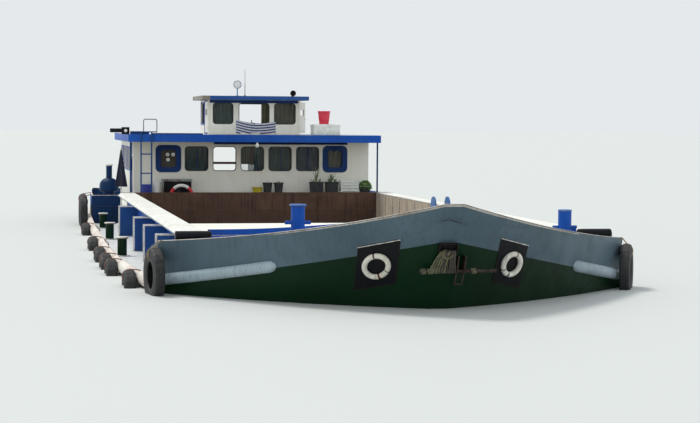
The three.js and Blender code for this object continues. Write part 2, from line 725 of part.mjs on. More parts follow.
function poopBulwark() {
  const outline = (inset) => {
    const side = stationsBetween(-HALF_LENGTH + inset, POOP_FRONT - inset)
      .map((x) => new THREE.Vector2(x, halfBreadth(x) - inset));
    return new THREE.Shape([...side, ...side.map((p) => new THREE.Vector2(p.x, -p.y)).reverse()]);
  };
  const depth = POOP_RAIL.top - AFT_DECK - GAP;
  const [outer, inner] = [0, POOP_RAIL.thick].map((inset) =>
    new THREE.ExtrudeGeometry(outline(inset), { depth: depth + inset, bevelEnabled: false })
      .translate(0, 0, AFT_DECK + GAP - inset / 2));
  const gap = block([POOP_FRONT - 200, POOP_FRONT + 100], [-POOP_RAIL.inner, POOP_RAIL.inner],
    [AFT_DECK - 100, POOP_RAIL.top + 100]);
  return cut(outer, inner, gap);
}

add("poop_bulwark", poopBulwark(), FINISH.blue);

const VENT = { x: -9620, y: -4120, hoodR: 285, pipeR: 88, hood: 3390, top: 3790 };

add("hooded_vent", join(
  turned([[0, AFT_DECK + GAP], [170, AFT_DECK + GAP], [170, VENT.hood - 420], [VENT.hoodR, VENT.hood - 400],
    [VENT.hoodR, VENT.hood - 230], [VENT.hoodR * 0.86, VENT.hood - 100], [VENT.hoodR * 0.5, VENT.hood - 20],
    [0, VENT.hood]], VENT.x, VENT.y, 18),
  turned([[0, VENT.hood - 80], [VENT.pipeR, VENT.hood - 80], [VENT.pipeR, VENT.top - 50],
    [VENT.pipeR + 22, VENT.top - 50], [VENT.pipeR + 22, VENT.top], [0, VENT.top]], VENT.x, VENT.y, 14),
), FINISH.blue);

// The folded parasol stands on the side deck, beside the post of the house roof.
const PARASOL = { x: -7700, y: -3890, low: 3180, high: 4260, r: 190, foot: 135 };

add("parasol", join(
  turned([[0, SIDE_DECK + GAP], [PARASOL.foot, SIDE_DECK + GAP], [PARASOL.foot, SIDE_DECK + 70],
    [40, SIDE_DECK + 110], [0, SIDE_DECK + 110]], PARASOL.x, PARASOL.y, 14),
  bar([PARASOL.x, PARASOL.y, SIDE_DECK + 60], [PARASOL.x, PARASOL.y, PARASOL.high + 50], 20, 8),
  turned([[0, PARASOL.low], [PARASOL.r, PARASOL.low], [PARASOL.r * 0.55, PARASOL.low + 540],
    [30, PARASOL.high], [0, PARASOL.high]], PARASOL.x, PARASOL.y, 14),
), FINISH.navy);

// Low cupboard beside the starboard door
const CUPBOARD = { x: [-8180, -7720], y: [-2700, -1830], top: 3400, plate: 30, inset: 20 };

function cupboard({ x, y, top, plate, inset }) {
  const within = ([a, b]) => [a + inset, b - inset];
  return join(block(x, y, [top - plate, top]),
    block(within(x), within(y), [AFT_DECK + GAP, top - plate + 5]));
}

add("deck_table", cupboard(CUPBOARD), FINISH.wood);

// Bench with a leg at each corner
function benchFrame({ x, y, top, plate, leg }) {
  const legs = x.flatMap((cx, i) => y.map((cy, j) => {
    const [x0, y0] = [i ? cx - leg : cx, j ? cy - leg : cy];
    return block([x0, x0 + leg], [y0, y0 + leg], [AFT_DECK + GAP, top - plate + 5]);
  }));
  return join(block(x, y, [top - plate, top]), ...legs);
}

const BENCH = { x: [-8100, -7680], y: [-100, 3500], top: 3000, plate: 30, leg: 45 };
// Pots, crate and herb box that stand on the bench, from the middle of the boat to port
const BENCH_BOXES = [
  { y: 240, width: 300, height: 300 },
  { y: 570, width: 300, height: 300 },
  { y: 1640, width: 420, height: 320 },
  { y: 2110, width: 400, height: 320 },
  { y: 2560, width: 540, height: 370 },
  { y: 3150, width: 320, height: 170 },
];

add("plant_bench", join(
  benchFrame(BENCH),
  ...BENCH_BOXES.map(({ y, width, height }) =>
    block([BENCH.x[0] + 60, BENCH.x[1] - 60], [y, y + width], [BENCH.top - 5, BENCH.top + height])),
), FINISH.wood);

const LIFE_RING = { x: -7615, y: -2160, r: 310, tube: 52 };

add("life_ring", new THREE.TorusGeometry(LIFE_RING.r, LIFE_RING.tube, 8, 22).rotateY(Math.PI / 2)
  .translate(LIFE_RING.x, LIFE_RING.y, AFT_DECK + GAP + LIFE_RING.r + LIFE_RING.tube), FINISH.ring);

// Ladder from the aft coaming to the roof, with a hoop to hold above the roof's edge
const LADDER = { x: -7390, y: [-3340, -3040], r: 17, top: 4780, hoopTop: 5130, hoopY: [-3270, -2890],
  rungs: 2, rise: 550 };

function ladder() {
  const { x, y, r, top, hoopTop, hoopY, rungs, rise } = LADDER;
  const foot = COAMING_TOP + GAP;
  const level = (z, y0, y1, radius = 13) => bar([x, y0, z], [x, y1, z], radius, 6);
  return join(
    ...y.map((v) => bar([x, v, foot], [x, v, top], r, 6)),
    ...y.map((v) => bar([x, v, 4600], [HOUSE_ROOF.front + GAP, v, 4600], 12, 6)),
    ...Array.from({ length: rungs }, (_, i) => level(foot + (i + 1) * rise, ...y)),
    ...hoopY.map((v) => bar([x, v, top - 15], [x, v, hoopTop], 15, 6)),
    level(hoopTop, hoopY[0] - 15, hoopY[1] + 15, 15),
    level(top - 10, y[0] - 15, hoopY[1] + 15, 15),
  );
}

add("ladder", ladder(), FINISH.steel);

// Deckhouse

const H_LOW = AFT_DECK + GAP;
const H_HIGH = HOUSE.top - GAP;

function centredWindow(i) {
  const { pitch, width, low, high, round } = FRONT_WINDOW;
  return { y: i * pitch, z: (low + high) / 2, width, height: high - low, round };
}

// The outermost front windows are smaller and sit in wide rounded frames.
const WIDE_FRAME = { width: 740, height: 790, round: 140, x: [HOUSE.front - 20, HOUSE.front + 22],
  hole: { width: 440, height: 510, round: 90 } };
// Board that closes the starboard one
const BOARD = { x: [HOUSE.front - 45, HOUSE.front - 20], overlap: 10 };

function houseFront() {
  const wall = block([HOUSE.front - HOUSE.wall, HOUSE.front], [-HOUSE.half, HOUSE.half], [H_LOW, H_HIGH]);
  const windows = [-3, -2, -1, 0, 1, 2, 3].map(centredWindow);
  const framed = [windows[0], windows[6]];
  const holes = windows.map((w) => {
    const { width, height, round } = framed.includes(w) ? WIDE_FRAME.hole : w;
    return roundedHole(w.y, w.z, width, height, round, HOUSE.front - HOUSE.wall - 10, HOUSE.front + 40);
  });
  const { width: frameWidth, height: frameHeight, round: frameRound, x, hole } = WIDE_FRAME;
  const frames = framed.map((w) => roundedHole(w.y, w.z, frameWidth, frameHeight, frameRound, ...x));
  const [halfWidth, halfHeight] = [hole.width / 2 + BOARD.overlap, hole.height / 2 + BOARD.overlap];
  const { y: boardY, z: boardZ } = windows[0];
  const panel = block(BOARD.x,
    [boardY - halfWidth, boardY + halfWidth], [boardZ - halfHeight, boardZ + halfHeight]);
  return join(cut(join(wall, ...frames), ...holes), panel);
}

// Lift-off hinges: each knuckle on the frame stands on the pin of the leaf, which is notched round it.
const HINGE = { places: [0.16, 0.8], knuckleR: 14, pinR: 7.4, notchR: 20, length: 60, rise: 5 };

function frameKnuckles(x, y, low, height) {
  const { places, knuckleR, length, rise } = HINGE;
  return places.map((share) => {
    const z = low + share * height + rise;
    return bar([x, y, z], [x, y, z + length], knuckleR, 8);
  });
}

const SIDE_DOOR = { x: [-9120, -8520], low: 2640, high: 4400 };
const SIDE_WINDOWS = [{ x: -9800 }, { x: -10900 }, { x: -12000 }, { x: -13000 }];

function houseSide() {
  const [y0, y1] = [HOUSE.half - HOUSE.wall, HOUSE.half];
  const wall = block([HOUSE.back + HOUSE.wall + GAP, HOUSE.front - HOUSE.wall - GAP],
    [y0, y1], [H_LOW, H_HIGH]);
  const opening = block([...SIDE_DOOR.x], [y0 - 10, y1 + 10], [SIDE_DOOR.low, SIDE_DOOR.high]);
  const holes = SIDE_WINDOWS.map(({ x }) =>
    block([x - 330, x + 330], [y0 - 10, y1 + 10], [FRONT_WINDOW.low, FRONT_WINDOW.high - 60]));
  return join(cut(wall, opening, ...holes), ...frameKnuckles(SIDE_DOOR.x[1] - DOOR_GAP, y1,
    SIDE_DOOR.low + DOOR_GAP, SIDE_DOOR.high - SIDE_DOOR.low - 2 * DOOR_GAP));
}

const BACK_DOOR = { y: [1200, 1900], low: 2640, high: 4400 };
const BACK_WINDOW = { y: [-900, 600], low: 3500, high: 4300 };

function houseBack() {
  const [x0, x1] = [HOUSE.back, HOUSE.back + HOUSE.wall];
  const wall = block([x0, x1], [-HOUSE.half, HOUSE.half], [H_LOW, H_HIGH]);
  const holed = cut(wall,
    block([x0 - 10, x1 + 10], BACK_DOOR.y, [BACK_DOOR.low, BACK_DOOR.high]),
    block([x0 - 10, x1 + 10], BACK_WINDOW.y, [BACK_WINDOW.low, BACK_WINDOW.high]));
  return join(holed, ...frameKnuckles(x0, BACK_DOOR.y[1] - DOOR_GAP,
    BACK_DOOR.low + DOOR_GAP, BACK_DOOR.high - BACK_DOOR.low - 2 * DOOR_GAP));
}

// A door leaf that hangs from the origin along -X, its outer face on y = 0, with a light and a handle.
function doorLeaf(width, height, thick) {
  const { places, pinR, notchR, length, rise } = HINGE;
  const leaf = block([-width, 0], [-thick, 0], [0, height]);
  const light = block([-width * 0.8, -width * 0.2], [-thick - 5, 5], [height * 0.57, height * 0.76]);
  const handle = bar([-width + 60, -5, height * 0.45], [-width + 60, 40, height * 0.45], 11, 8);
  const notches = places.map((share) =>
    bar([0, 0, share * height], [0, 0, share * height + length + 2 * rise], notchR, 12));
  const pins = places.map((share) =>
    bar([0, 0, share * height - length], [0, 0, share * height + rise - GAP], pinR, 8));
  return join(cut(leaf, light, ...notches), handle, ...pins);
}

add("house_front", houseFront(), FINISH.cream);
add("house_port", houseSide(), FINISH.cream);
add("house_starboard", mirrored(houseSide()), FINISH.cream);
add("house_back", houseBack(), FINISH.cream);

function glassBand() {
  const pane = block([HOUSE.front - HOUSE.wall - 8, HOUSE.front - HOUSE.wall - GAP], [-2030, 2860],
    [FRONT_WINDOW.low - 40, FRONT_WINDOW.high + 40]);
  const w = centredWindow(-1);
  return cut(pane, block([HOUSE.front - 100, HOUSE.front], [w.y - 335, w.y + 335],
    [FRONT_WINDOW.low, FRONT_WINDOW.high]));
}

add("house_glass_front", glassBand(), FINISH.glass);

// Each side door is hinged at the forward edge of its outer face and opens outward.
const SIDE_LEAF = doorLeaf(SIDE_DOOR.x[1] - SIDE_DOOR.x[0] - 2 * DOOR_GAP,
  SIDE_DOOR.high - SIDE_DOOR.low - 2 * DOOR_GAP, HOUSE.wall - 6);

add("house_door_port", SIDE_LEAF, FINISH.blue)
  .position.set(SIDE_DOOR.x[1] - DOOR_GAP, HOUSE.half, SIDE_DOOR.low + DOOR_GAP);
add("house_door_starboard", mirrored(SIDE_LEAF), FINISH.blue)
  .position.set(SIDE_DOOR.x[1] - DOOR_GAP, -HOUSE.half, SIDE_DOOR.low + DOOR_GAP);

// The back door is hinged at its port edge.
const BACK_LEAF = doorLeaf(BACK_DOOR.y[1] - BACK_DOOR.y[0] - 2 * DOOR_GAP,
  BACK_DOOR.high - BACK_DOOR.low - 2 * DOOR_GAP, HOUSE.wall - 6);
const backDoor = add("house_door_back", BACK_LEAF, FINISH.blue);
backDoor.position.set(HOUSE.back, BACK_DOOR.y[1] - DOOR_GAP, BACK_DOOR.low + DOOR_GAP);
backDoor.rotation.z = Math.PI / 2;

// Engine room hatch: two leaves over the well, each hinged along its outer edge
const HATCH = { lap: 40, thick: 34, split: 4 };

for (const [side, name] of [[1, "port"], [-1, "starboard"]]) {
  const outer = ENGINE_WELL.half + HATCH.lap;
  const y = [side * HATCH.split, side * outer].sort((a, b) => a - b);
  const x = [ENGINE_WELL.aft - HATCH.lap, ENGINE_WELL.fore + HATCH.lap];
  const middle = (x[0] + x[1]) / 2;
  add("engine_hatch_" + name, join(
    block(x, y, [AFT_DECK + GAP, AFT_DECK + GAP + HATCH.thick]),
    bar(...[-90, 90].map((v) => [middle + v, side * 120, AFT_DECK + HATCH.thick]), 12, 8),
  ), FINISH.blue);
}

// House roof: a deep slab with its fascia, two posts at the front edge, and the pipes that lie on it

const ROOF_POST = { x: -7600, y: 3620, r: 25 };
const COMPANION = { x: [-10800, -9050], half: 1250 };

const ROOF_PIPE = { x: -7500, y: [-3050, -1560], r: 20 };

// Lamp box on the starboard front corner, with a tube that reaches out over the side
const ROOF_LAMP = { x: [-7700, -7520], y: [-3880, -3660], top: 4900, tubeX: -7600, tubeZ: 4805,
  tube: [-4210, -3870], r: 58 };

function houseRoof() {
  const { front, back, half, top } = HOUSE_ROOF;
  const slab = block([back, front], [-half, half], [HOUSE.top, top]);
  const posts = [-1, 1].map((side) =>
    bar(...[AFT_DECK + GAP, HOUSE.top + 10].map((z) => [ROOF_POST.x, side * ROOF_POST.y, z]), ROOF_POST.r));
  const pipes = join(
    bar(...ROOF_PIPE.y.map((y) => [ROOF_PIPE.x, y, top + ROOF_PIPE.r - 4]), ROOF_PIPE.r, 8),
    bar(...ROOF_LAMP.tube.map((y) => [ROOF_LAMP.tubeX, y, ROOF_LAMP.tubeZ]), ROOF_LAMP.r, 14),
    block(ROOF_LAMP.x, ROOF_LAMP.y, [top - 5, ROOF_LAMP.top]),
  );
  const across = [WHEELHOUSE.y - COMPANION.half, WHEELHOUSE.y + COMPANION.half];
  return cut(join(slab, ...posts, pipes), block(COMPANION.x, across, [HOUSE.top - 10, top + 10]));
}

add("house_roof", houseRoof(), FINISH.blue);

// Water tank on the roof, with a bucket on it
const ROOF_TANK = { x: [-8720, -8080], y: [1790, 2610], high: 5020 };
const BUCKET = { x: -8400, y: 2160, lowR: 140, highR: 190, wall: 8, height: 390 };

add("roof_tank", block(ROOF_TANK.x, ROOF_TANK.y, [HOUSE_ROOF.top + GAP, ROOF_TANK.high]), FINISH.white);
function bucket({ x, y, lowR, highR, wall, height }) {
  const section = [[0, 0], [lowR, 0], [highR, height], [highR - wall, height], [lowR - wall, wall],
    [0, wall]];
  return turned(section, x, y, 20).translate(0, 0, ROOF_TANK.high + GAP);
}

add("bucket", bucket(BUCKET), FINISH.red);

// Wheelhouse

const W_LOW = HOUSE_ROOF.top + GAP;
const W_HIGH = WHEELHOUSE.top - GAP;
const W_SIDES = [WHEELHOUSE.y - WHEELHOUSE.half, WHEELHOUSE.y + WHEELHOUSE.half];
const W_WINDOWS = [
  { y0: -1220, y1: -640 },
  { y0: -445, y1: 445 },
  { y0: 620, y1: 1240 },
];
const W_WINDOW_Z = { low: 5020, high: 5620, round: 80 };
const W_DOOR = { x: [-9720, -9000], low: 4740, high: 5680 };

function wheelhouseEnd(x0, x1, windows) {
  const wall = block([x0, x1], W_SIDES, [W_LOW, W_HIGH]);
  const holes = windows.map(({ y0, y1 }) => roundedHole(WHEELHOUSE.y + (y0 + y1) / 2,
    (W_WINDOW_Z.low + W_WINDOW_Z.high) / 2, y1 - y0, W_WINDOW_Z.high - W_WINDOW_Z.low, W_WINDOW_Z.round,
    x0 - 10, x1 + 10));
  return cut(wall, ...holes);
}

function wheelhouseSide(side) {
  const y0 = side > 0 ? W_SIDES[1] - WHEELHOUSE.wall : W_SIDES[0];
  const y = [y0, y0 + WHEELHOUSE.wall];
  const through = [y0 - 10, y0 + WHEELHOUSE.wall + 10];
  const wall = block([WHEELHOUSE.back + WHEELHOUSE.wall + GAP, WHEELHOUSE.front - WHEELHOUSE.wall - GAP], y,
    [W_LOW, W_HIGH]);
  const holed = cut(wall,
    block(W_DOOR.x, through, [W_DOOR.low, W_DOOR.high]),
    block([-10700, -9900], through, [W_WINDOW_Z.low, W_WINDOW_Z.high]));
  return join(holed, ...frameKnuckles(W_DOOR.x[1] - DOOR_GAP, W_SIDES[side > 0 ? 1 : 0],
    W_DOOR.low + DOOR_GAP, W_DOOR.high - W_DOOR.low - 2 * DOOR_GAP));
}

add("wheelhouse_front",
  wheelhouseEnd(WHEELHOUSE.front - WHEELHOUSE.wall, WHEELHOUSE.front, W_WINDOWS), FINISH.cream);
add("wheelhouse_back",
  wheelhouseEnd(WHEELHOUSE.back, WHEELHOUSE.back + WHEELHOUSE.wall, [{ y0: -900, y1: 900 }]), FINISH.cream);
add("wheelhouse_port", wheelhouseSide(1), FINISH.cream);
add("wheelhouse_starboard", wheelhouseSide(-1), FINISH.cream);

// One strip of glass behind the two closed windows; the middle one stands open.
add("wheelhouse_glass", cut(
  block([WHEELHOUSE.front - WHEELHOUSE.wall - 6, WHEELHOUSE.front - WHEELHOUSE.wall - GAP],
    [WHEELHOUSE.y - 1260, WHEELHOUSE.y + 1280], [W_WINDOW_Z.low - 40, W_WINDOW_Z.high + 40]),
  block([WHEELHOUSE.front - 100, WHEELHOUSE.front], [WHEELHOUSE.y - 445, WHEELHOUSE.y + 445],
    [W_WINDOW_Z.low, W_WINDOW_Z.high]),
), FINISH.glass);

// Wheelhouse doors, hinged forward; the port one stands ajar.
const W_LEAF = doorLeaf(W_DOOR.x[1] - W_DOOR.x[0] - 2 * DOOR_GAP, W_DOOR.high - W_DOOR.low - 2 * DOOR_GAP,
  WHEELHOUSE.wall - 6);
const W_AJAR = 25;

add("wheelhouse_door_starboard", mirrored(W_LEAF), FINISH.cream)
  .position.set(W_DOOR.x[1] - DOOR_GAP, W_SIDES[0], W_DOOR.low + DOOR_GAP);
const portDoor = add("wheelhouse_door_port", W_LEAF, FINISH.cream);
portDoor.position.set(W_DOOR.x[1] - DOOR_GAP, W_SIDES[1], W_DOOR.low + DOOR_GAP);
portDoor.rotation.z = -THREE.MathUtils.degToRad(W_AJAR);

// Wheelhouse roof with its horn, round lamp on a stalk and aerial
const HORN = { x: -8620, y: 1475, z: 5925, r: 75 };
const STALK = { x: -8800, y: -60, lamp: 6175, r: 120 };
const AERIAL = { x: -9400, y: 170, top: 6660 };

function wheelhouseRoof() {
  const { front, back, half, top } = WHEELHOUSE_ROOF;
  return join(
    block([back, front], [WHEELHOUSE.y - half, WHEELHOUSE.y + half], [WHEELHOUSE.top, top]),
    bar([HORN.x - 160, HORN.y, HORN.z], [HORN.x + 60, HORN.y, HORN.z], HORN.r, 14),
    block([HORN.x - 120, HORN.x - 40], [HORN.y - 50, HORN.y + 50], [top - 5, HORN.z]),
    bar([STALK.x, STALK.y, top - 5], [STALK.x, STALK.y, STALK.lamp], 16, 8),
    bar([STALK.x - 45, STALK.y, STALK.lamp], [STALK.x + 45, STALK.y, STALK.lamp], STALK.r, 18),
    bar([AERIAL.x, AERIAL.y, top - 5], [AERIAL.x, AERIAL.y, AERIAL.top], 12, 8),
  );
}

add("wheelhouse_roof", wheelhouseRoof(), FINISH.blue);

// Striped cloth that hangs from the open middle window
const CLOTH = { y: [-410, 780], low: HOUSE_ROOF.top + 6, high: 5150, thick: 24 };

add("sill_cloth", block([WHEELHOUSE.front + GAP, WHEELHOUSE.front + GAP + CLOTH.thick], CLOTH.y,
  [CLOTH.low, CLOTH.high]), FINISH.white);

// Helm: a platform on four legs over the hatch, a console and the wheel

const HELM = { floor: 3850, x: [-10350, -9120], y: [-1170, 1170], leg: 40,
  console: [-9330, -9140], consoleTop: 4870, wheelX: -9440, wheelZ: 4700, wheelR: 340, boss: 60, socket: 10 };

function helmStand() {
  const { floor, x, y, leg, console: cx, consoleTop, wheelZ, boss, socket } = HELM;
  const legs = x.flatMap((v, i) => y.map((w, j) => {
    const [x0, y0] = [i ? v - leg : v, j ? w - leg : w];
    return block([x0, x0 + leg], [y0, y0 + leg], [AFT_DECK + GAP, floor - 20]);
  }));
  const desk = block(cx, [WHEELHOUSE.y - 260, WHEELHOUSE.y + 260], [floor - 10, consoleTop]);
  const along = (x0, x1, r) => bar([x0, WHEELHOUSE.y, wheelZ], [x1, WHEELHOUSE.y, wheelZ], r, 14);
  const housing = along(cx[0] - boss, cx[0] + 10, 45);
  const hole = along(cx[0] - boss - 20, cx[0] - socket, 24);
  return cut(join(block(x, y, [floor - 40, floor]), ...legs, desk, housing), hole);
}

// The wheel is drawn about its own centre, its axle along X.
function helmWheel() {
  const { wheelR } = HELM;
  const rim = new THREE.TorusGeometry(wheelR, 18, 6, 20).rotateY(Math.PI / 2);
  const stub = HELM.console[0] - HELM.socket - HELM.wheelX - GAP;
  const spokes = [0, 1, 2, 3].map((k) => {
    const angle = (k * Math.PI) / 4;
    const reach = wheelR + 90;
    const tip = [0, Math.cos(angle) * reach, Math.sin(angle) * reach];
    return bar(tip.map((v) => -v), tip, 12, 6);
  });
  return join(rim, ...spokes, bar([-30, 0, 0], [30, 0, 0], 60, 12), bar([20, 0, 0], [stub, 0, 0], 18, 12));
}

add("helm_stand", helmStand(), FINISH.wood);
add("helm_wheel", helmWheel(), FINISH.wood).position.set(HELM.wheelX, WHEELHOUSE.y, HELM.wheelZ);

// Running gear

const ENGINE = { x: [-10200, -8700], half: 450, low: 450, high: 1550, bearer: 150 };

add("engine_block", join(
  block(ENGINE.x, [-ENGINE.half, ENGINE.half], [ENGINE.low, ENGINE.high]),
  ...[1, -1].map((side) => block(ENGINE.x, [side * (ENGINE.half - ENGINE.bearer), side * ENGINE.half],
    [ENGINE_WELL.floor + GAP, ENGINE.low + 10])),
), FINISH.green);

// Blade sections from the root to the tip: radius, chord and angle of the chord to the disc
const BLADE = [
  { r: 70, chord: 130, pitch: 58, thick: 34 },
  { r: 210, chord: 250, pitch: 40, thick: 24 },
  { r: 360, chord: 290, pitch: 29, thick: 16 },
  { r: 500, chord: 130, pitch: 23, thick: 8 },
];
const HUB = { r: 95, half: 120 };

function propeller() {
  const blade = loft(BLADE.map(({ r, chord, pitch, thick }) => {
    const angle = THREE.MathUtils.degToRad(pitch);
    const [cx, cy] = [Math.sin(angle), Math.cos(angle)];
    const section = [[-0.5, 0], [-0.15, 0.5], [0.25, 0.42], [0.5, 0], [0.25, -0.42], [-0.15, -0.5]];
    return section.map(([s, t]) => [
      s * chord * cx - t * thick * cy,
      s * chord * cy + t * thick * cx,
      Math.sqrt(Math.max(r * r - (s * chord * cy) ** 2, 0)),
    ]);
  }), (p) => [p[0], p[1]]);
  const blades = [0, 1, 2, 3].map((k) => blade.clone().rotateX((k * Math.PI) / 2));
  return join(
    bar([-HUB.half, 0, 0], [HUB.half, 0, 0], HUB.r, 20),
    bar([0, 0, 0], [ENGINE.x[0] - GAP - SHAFT.propellerX, 0, 0], SHAFT.r, 16),
    ...blades,
  );
}

add("propeller", propeller(), FINISH.bronze).position.set(SHAFT.propellerX, 0, SHAFT.z);

const QUADRANT = { low: AFT_DECK + 30, high: AFT_DECK + 80, r: 290, spread: 50, collar: 95 };

function rudder() {
  const { x, stockR, front, back, low, high } = RUDDER;
  const blade = slabXZ([[front, low + 60], [front, high], [back + 60, high], [back, high - 120], [back, low],
    [front - 60, low]], -30, 30);
  const sector = [[0, 0]];
  for (let k = 0; k <= 6; k++) {
    const angle = THREE.MathUtils.degToRad(180 - QUADRANT.spread + (k * QUADRANT.spread) / 3);
    sector.push([Math.cos(angle) * QUADRANT.r, Math.sin(angle) * QUADRANT.r]);
  }
  const shape = new THREE.Shape(sector.map(([u, v]) => new THREE.Vector2(u, v)));
  const depth = QUADRANT.high - QUADRANT.low;
  const quadrant = new THREE.ExtrudeGeometry(shape, { depth, bevelEnabled: false });
  return join(
    blade,
    bar([x, 0, low + 10], [x, 0, QUADRANT.high + 40], stockR, 16),
    bar([x, 0, 30 + GAP], [x, 0, low + 30], 27, 12),
    bar([x, 0, QUADRANT.low - 15], [x, 0, QUADRANT.high + 25], QUADRANT.collar, 16),
    quadrant.translate(x, 0, QUADRANT.low),
  );
}

add("rudder", rudder(), FINISH.rust);

export default barge;
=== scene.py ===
# %% [markdown]
# A river barge in Blender.
# The barge is a steel load carrier, thirty metres long, with an open hold, a high grey and green
# bow and a low house at the stern. Its steel pieces come in as a fixed frame that is never moved.
# This file dresses them: paint, rust, rubber, glass, rope and cloth, and the pieces too fine for
# the frame. Each step first says what the thing is on the real boat and how it is made here.

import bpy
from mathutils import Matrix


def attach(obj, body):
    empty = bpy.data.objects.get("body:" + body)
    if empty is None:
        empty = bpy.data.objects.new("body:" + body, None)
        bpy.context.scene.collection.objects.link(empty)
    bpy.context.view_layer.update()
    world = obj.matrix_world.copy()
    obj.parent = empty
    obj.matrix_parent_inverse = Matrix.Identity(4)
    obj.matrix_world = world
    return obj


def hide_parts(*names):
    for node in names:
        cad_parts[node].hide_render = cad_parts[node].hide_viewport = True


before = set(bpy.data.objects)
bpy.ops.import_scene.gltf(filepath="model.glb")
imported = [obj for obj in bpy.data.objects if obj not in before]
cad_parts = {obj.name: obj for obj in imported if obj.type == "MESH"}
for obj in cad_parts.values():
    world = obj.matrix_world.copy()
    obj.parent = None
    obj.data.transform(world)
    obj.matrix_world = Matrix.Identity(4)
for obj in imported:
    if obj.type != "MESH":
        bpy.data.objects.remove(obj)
print("pieces of the frame:", len(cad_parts))

# %% Tools from the library
import math
import random
from types import SimpleNamespace as Sizes

import bmesh
import bpy
from mathutils import Matrix, Vector, noise

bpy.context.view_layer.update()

# %% [markdown]
# The camera stands low, ahead of the bow and a little to starboard, far enough away that the
# thirty metres of boat look short. A photograph's long lens is given here by its focal length in
# pixels of the 700 by 423 picture, and turned into millimetres for a 36 mm wide sensor. The
# direction is built from yaw, pitch and roll, because those are what one reads off a horizon.

# %% Camera
PHOTO_WIDTH = 700
SENSOR_MM = 36
FOCAL_PIXELS = 1703
VIEWPOINT = Vector((41.56, -7.06, 5.04))
YAW, PITCH, ROLL = math.radians(11.35), math.radians(2.95), math.radians(0.4)

ahead = Vector((-math.cos(YAW) * math.cos(PITCH), math.sin(YAW) * math.cos(PITCH), -math.sin(PITCH)))
level = ahead.cross(Vector((0, 0, 1))).normalized()
upright = level.cross(ahead)
right = level * math.cos(ROLL) + upright * math.sin(ROLL)
over = upright * math.cos(ROLL) - level * math.sin(ROLL)

lens = bpy.data.cameras.new("photo_camera")
lens.sensor_width = SENSOR_MM
lens.lens = SENSOR_MM * FOCAL_PIXELS / PHOTO_WIDTH
lens.clip_end = 2000
camera = bpy.data.objects.new("photo_camera", lens)
camera.matrix_world = Matrix.Translation(VIEWPOINT) @ Matrix((right, over, -ahead)).transposed().to_4x4()
bpy.context.scene.collection.objects.link(camera)
bpy.context.scene.camera = camera

# %% [markdown]
# The day is bright and hazy: the sky is a white dome, and the sun stands high behind the boat, so
# decks and caps are almost white while the bow is in soft shade. A white world gives the dome,
# and one sun lamp with a wide angle gives the soft light from above and behind. The Standard
# view keeps the paint's colours as they are mixed.

# %% Light
bpy.context.scene.view_settings.view_transform = "Standard"

world = bpy.data.worlds.new("hazy_sky")
world.use_nodes = True
world.node_tree.nodes["Background"].inputs["Color"].default_value = (0.93, 0.97, 1.0, 1)
world.node_tree.nodes["Background"].inputs["Strength"].default_value = 0.84
bpy.context.scene.world = world

sun_light = bpy.data.lights.new("hazy_sun", "SUN")
sun_light.energy = 1.9
sun_light.angle = math.radians(14)
sun_light.color = (1.0, 0.97, 0.92)
sun = bpy.data.objects.new("hazy_sun", sun_light)
SUN_FROM = Vector((-0.42, -0.32, 0.85))
sun.rotation_euler = SUN_FROM.to_track_quat("Z", "Y").to_euler()
bpy.context.scene.collection.objects.link(sun)
print("sun height", round(math.degrees(math.asin(SUN_FROM.normalized().z))), "degrees")

# %% [markdown]
# Paint colours are picked as the eye sees them, in sRGB hex, but a shader counts light in linear
# values. One function turns the one into the other, and every material below uses it. Another
# adds a node: its settings are properties of the node, and its inputs take either a value or the
# output of an earlier node, which is then linked. It gives back one output, by name or number.

# %% Colour and node helpers
def linear(code):
    """An sRGB hex colour as the linear RGBA that a shader takes."""
    parts = [int(code[i:i + 2], 16) / 255 for i in (1, 3, 5)]
    return (*[c / 12.92 if c <= 0.04045 else ((c + 0.055) / 1.055) ** 2.4 for c in parts], 1.0)


def fill(tree, made, inputs):
    for name, value in inputs.items():
        if isinstance(value, bpy.types.NodeSocket):
            tree.links.new(value, made.inputs[name])
        else:
            made.inputs[name].default_value = value


def node(tree, kind, inputs, out=0, **settings):
    made = tree.nodes.new("ShaderNode" + kind)
    for name, value in settings.items():
        setattr(made, name, value)
    fill(tree, made, inputs)
    return made.outputs[out]


TIMES = {"operation": "MULTIPLY", "use_clamp": True}
HIGHER = {"operation": "MAXIMUM", "use_clamp": True}
ADDED = {"operation": "ADD", "use_clamp": True}
print("white enamel is", [round(c, 2) for c in linear("#f0f0ea")], "in linear values")

# %% [markdown]
# Several patterns serve more than one finish. Noise gives clouds, streaks and grain; the angle
# between a rounded and a true surface tells outer edges, where things rub; the way a surface
# faces tells decks from walls. Coats of colour are laid over one another where a mask lets them,
# and bump is stacked from the coarsest layer to the finest.

# %% Patterns that several finishes share
def per_mm(size):
    """The scale of a pattern whose grains measure size millimetres, for coordinates in metres."""
    return 1000 / size


def begin(name):
    """A new material, its node tree and the point in the boat's own frame."""
    material = bpy.data.materials.new(name)
    material.use_nodes = True
    return material, material.node_tree, node(material.node_tree, "TexCoord", {}, "Object")


def shaded(material, inputs):
    """The material with its shader's sockets filled."""
    fill(material.node_tree, material.node_tree.nodes["Principled BSDF"], inputs)
    return material


def clouds(tree, where, grain_mm, low, high, detail=4, stretch=(1, 1, 1)):
    """Noise of that grain, from 0 where it is below low to 1 where it is above high."""
    place = node(tree, "Mapping", {"Vector": where, "Scale": stretch})
    value = node(tree, "TexNoise", {"Vector": place, "Scale": per_mm(grain_mm), "Detail": detail})
    return node(tree, "MapRange", {0: value, 1: low, 2: high})


def coated(tree, ground, *coats):
    """The ground colour under coats, each a mask, a strength and a colour."""
    for mask, strength, colour in coats:
        share = mask if strength == 1 else node(tree, "Math", {0: mask, 1: strength}, **TIMES)
        ground = node(tree, "Mix", {0: share, 6: ground, 7: colour}, 2, data_type="RGBA")
    return ground


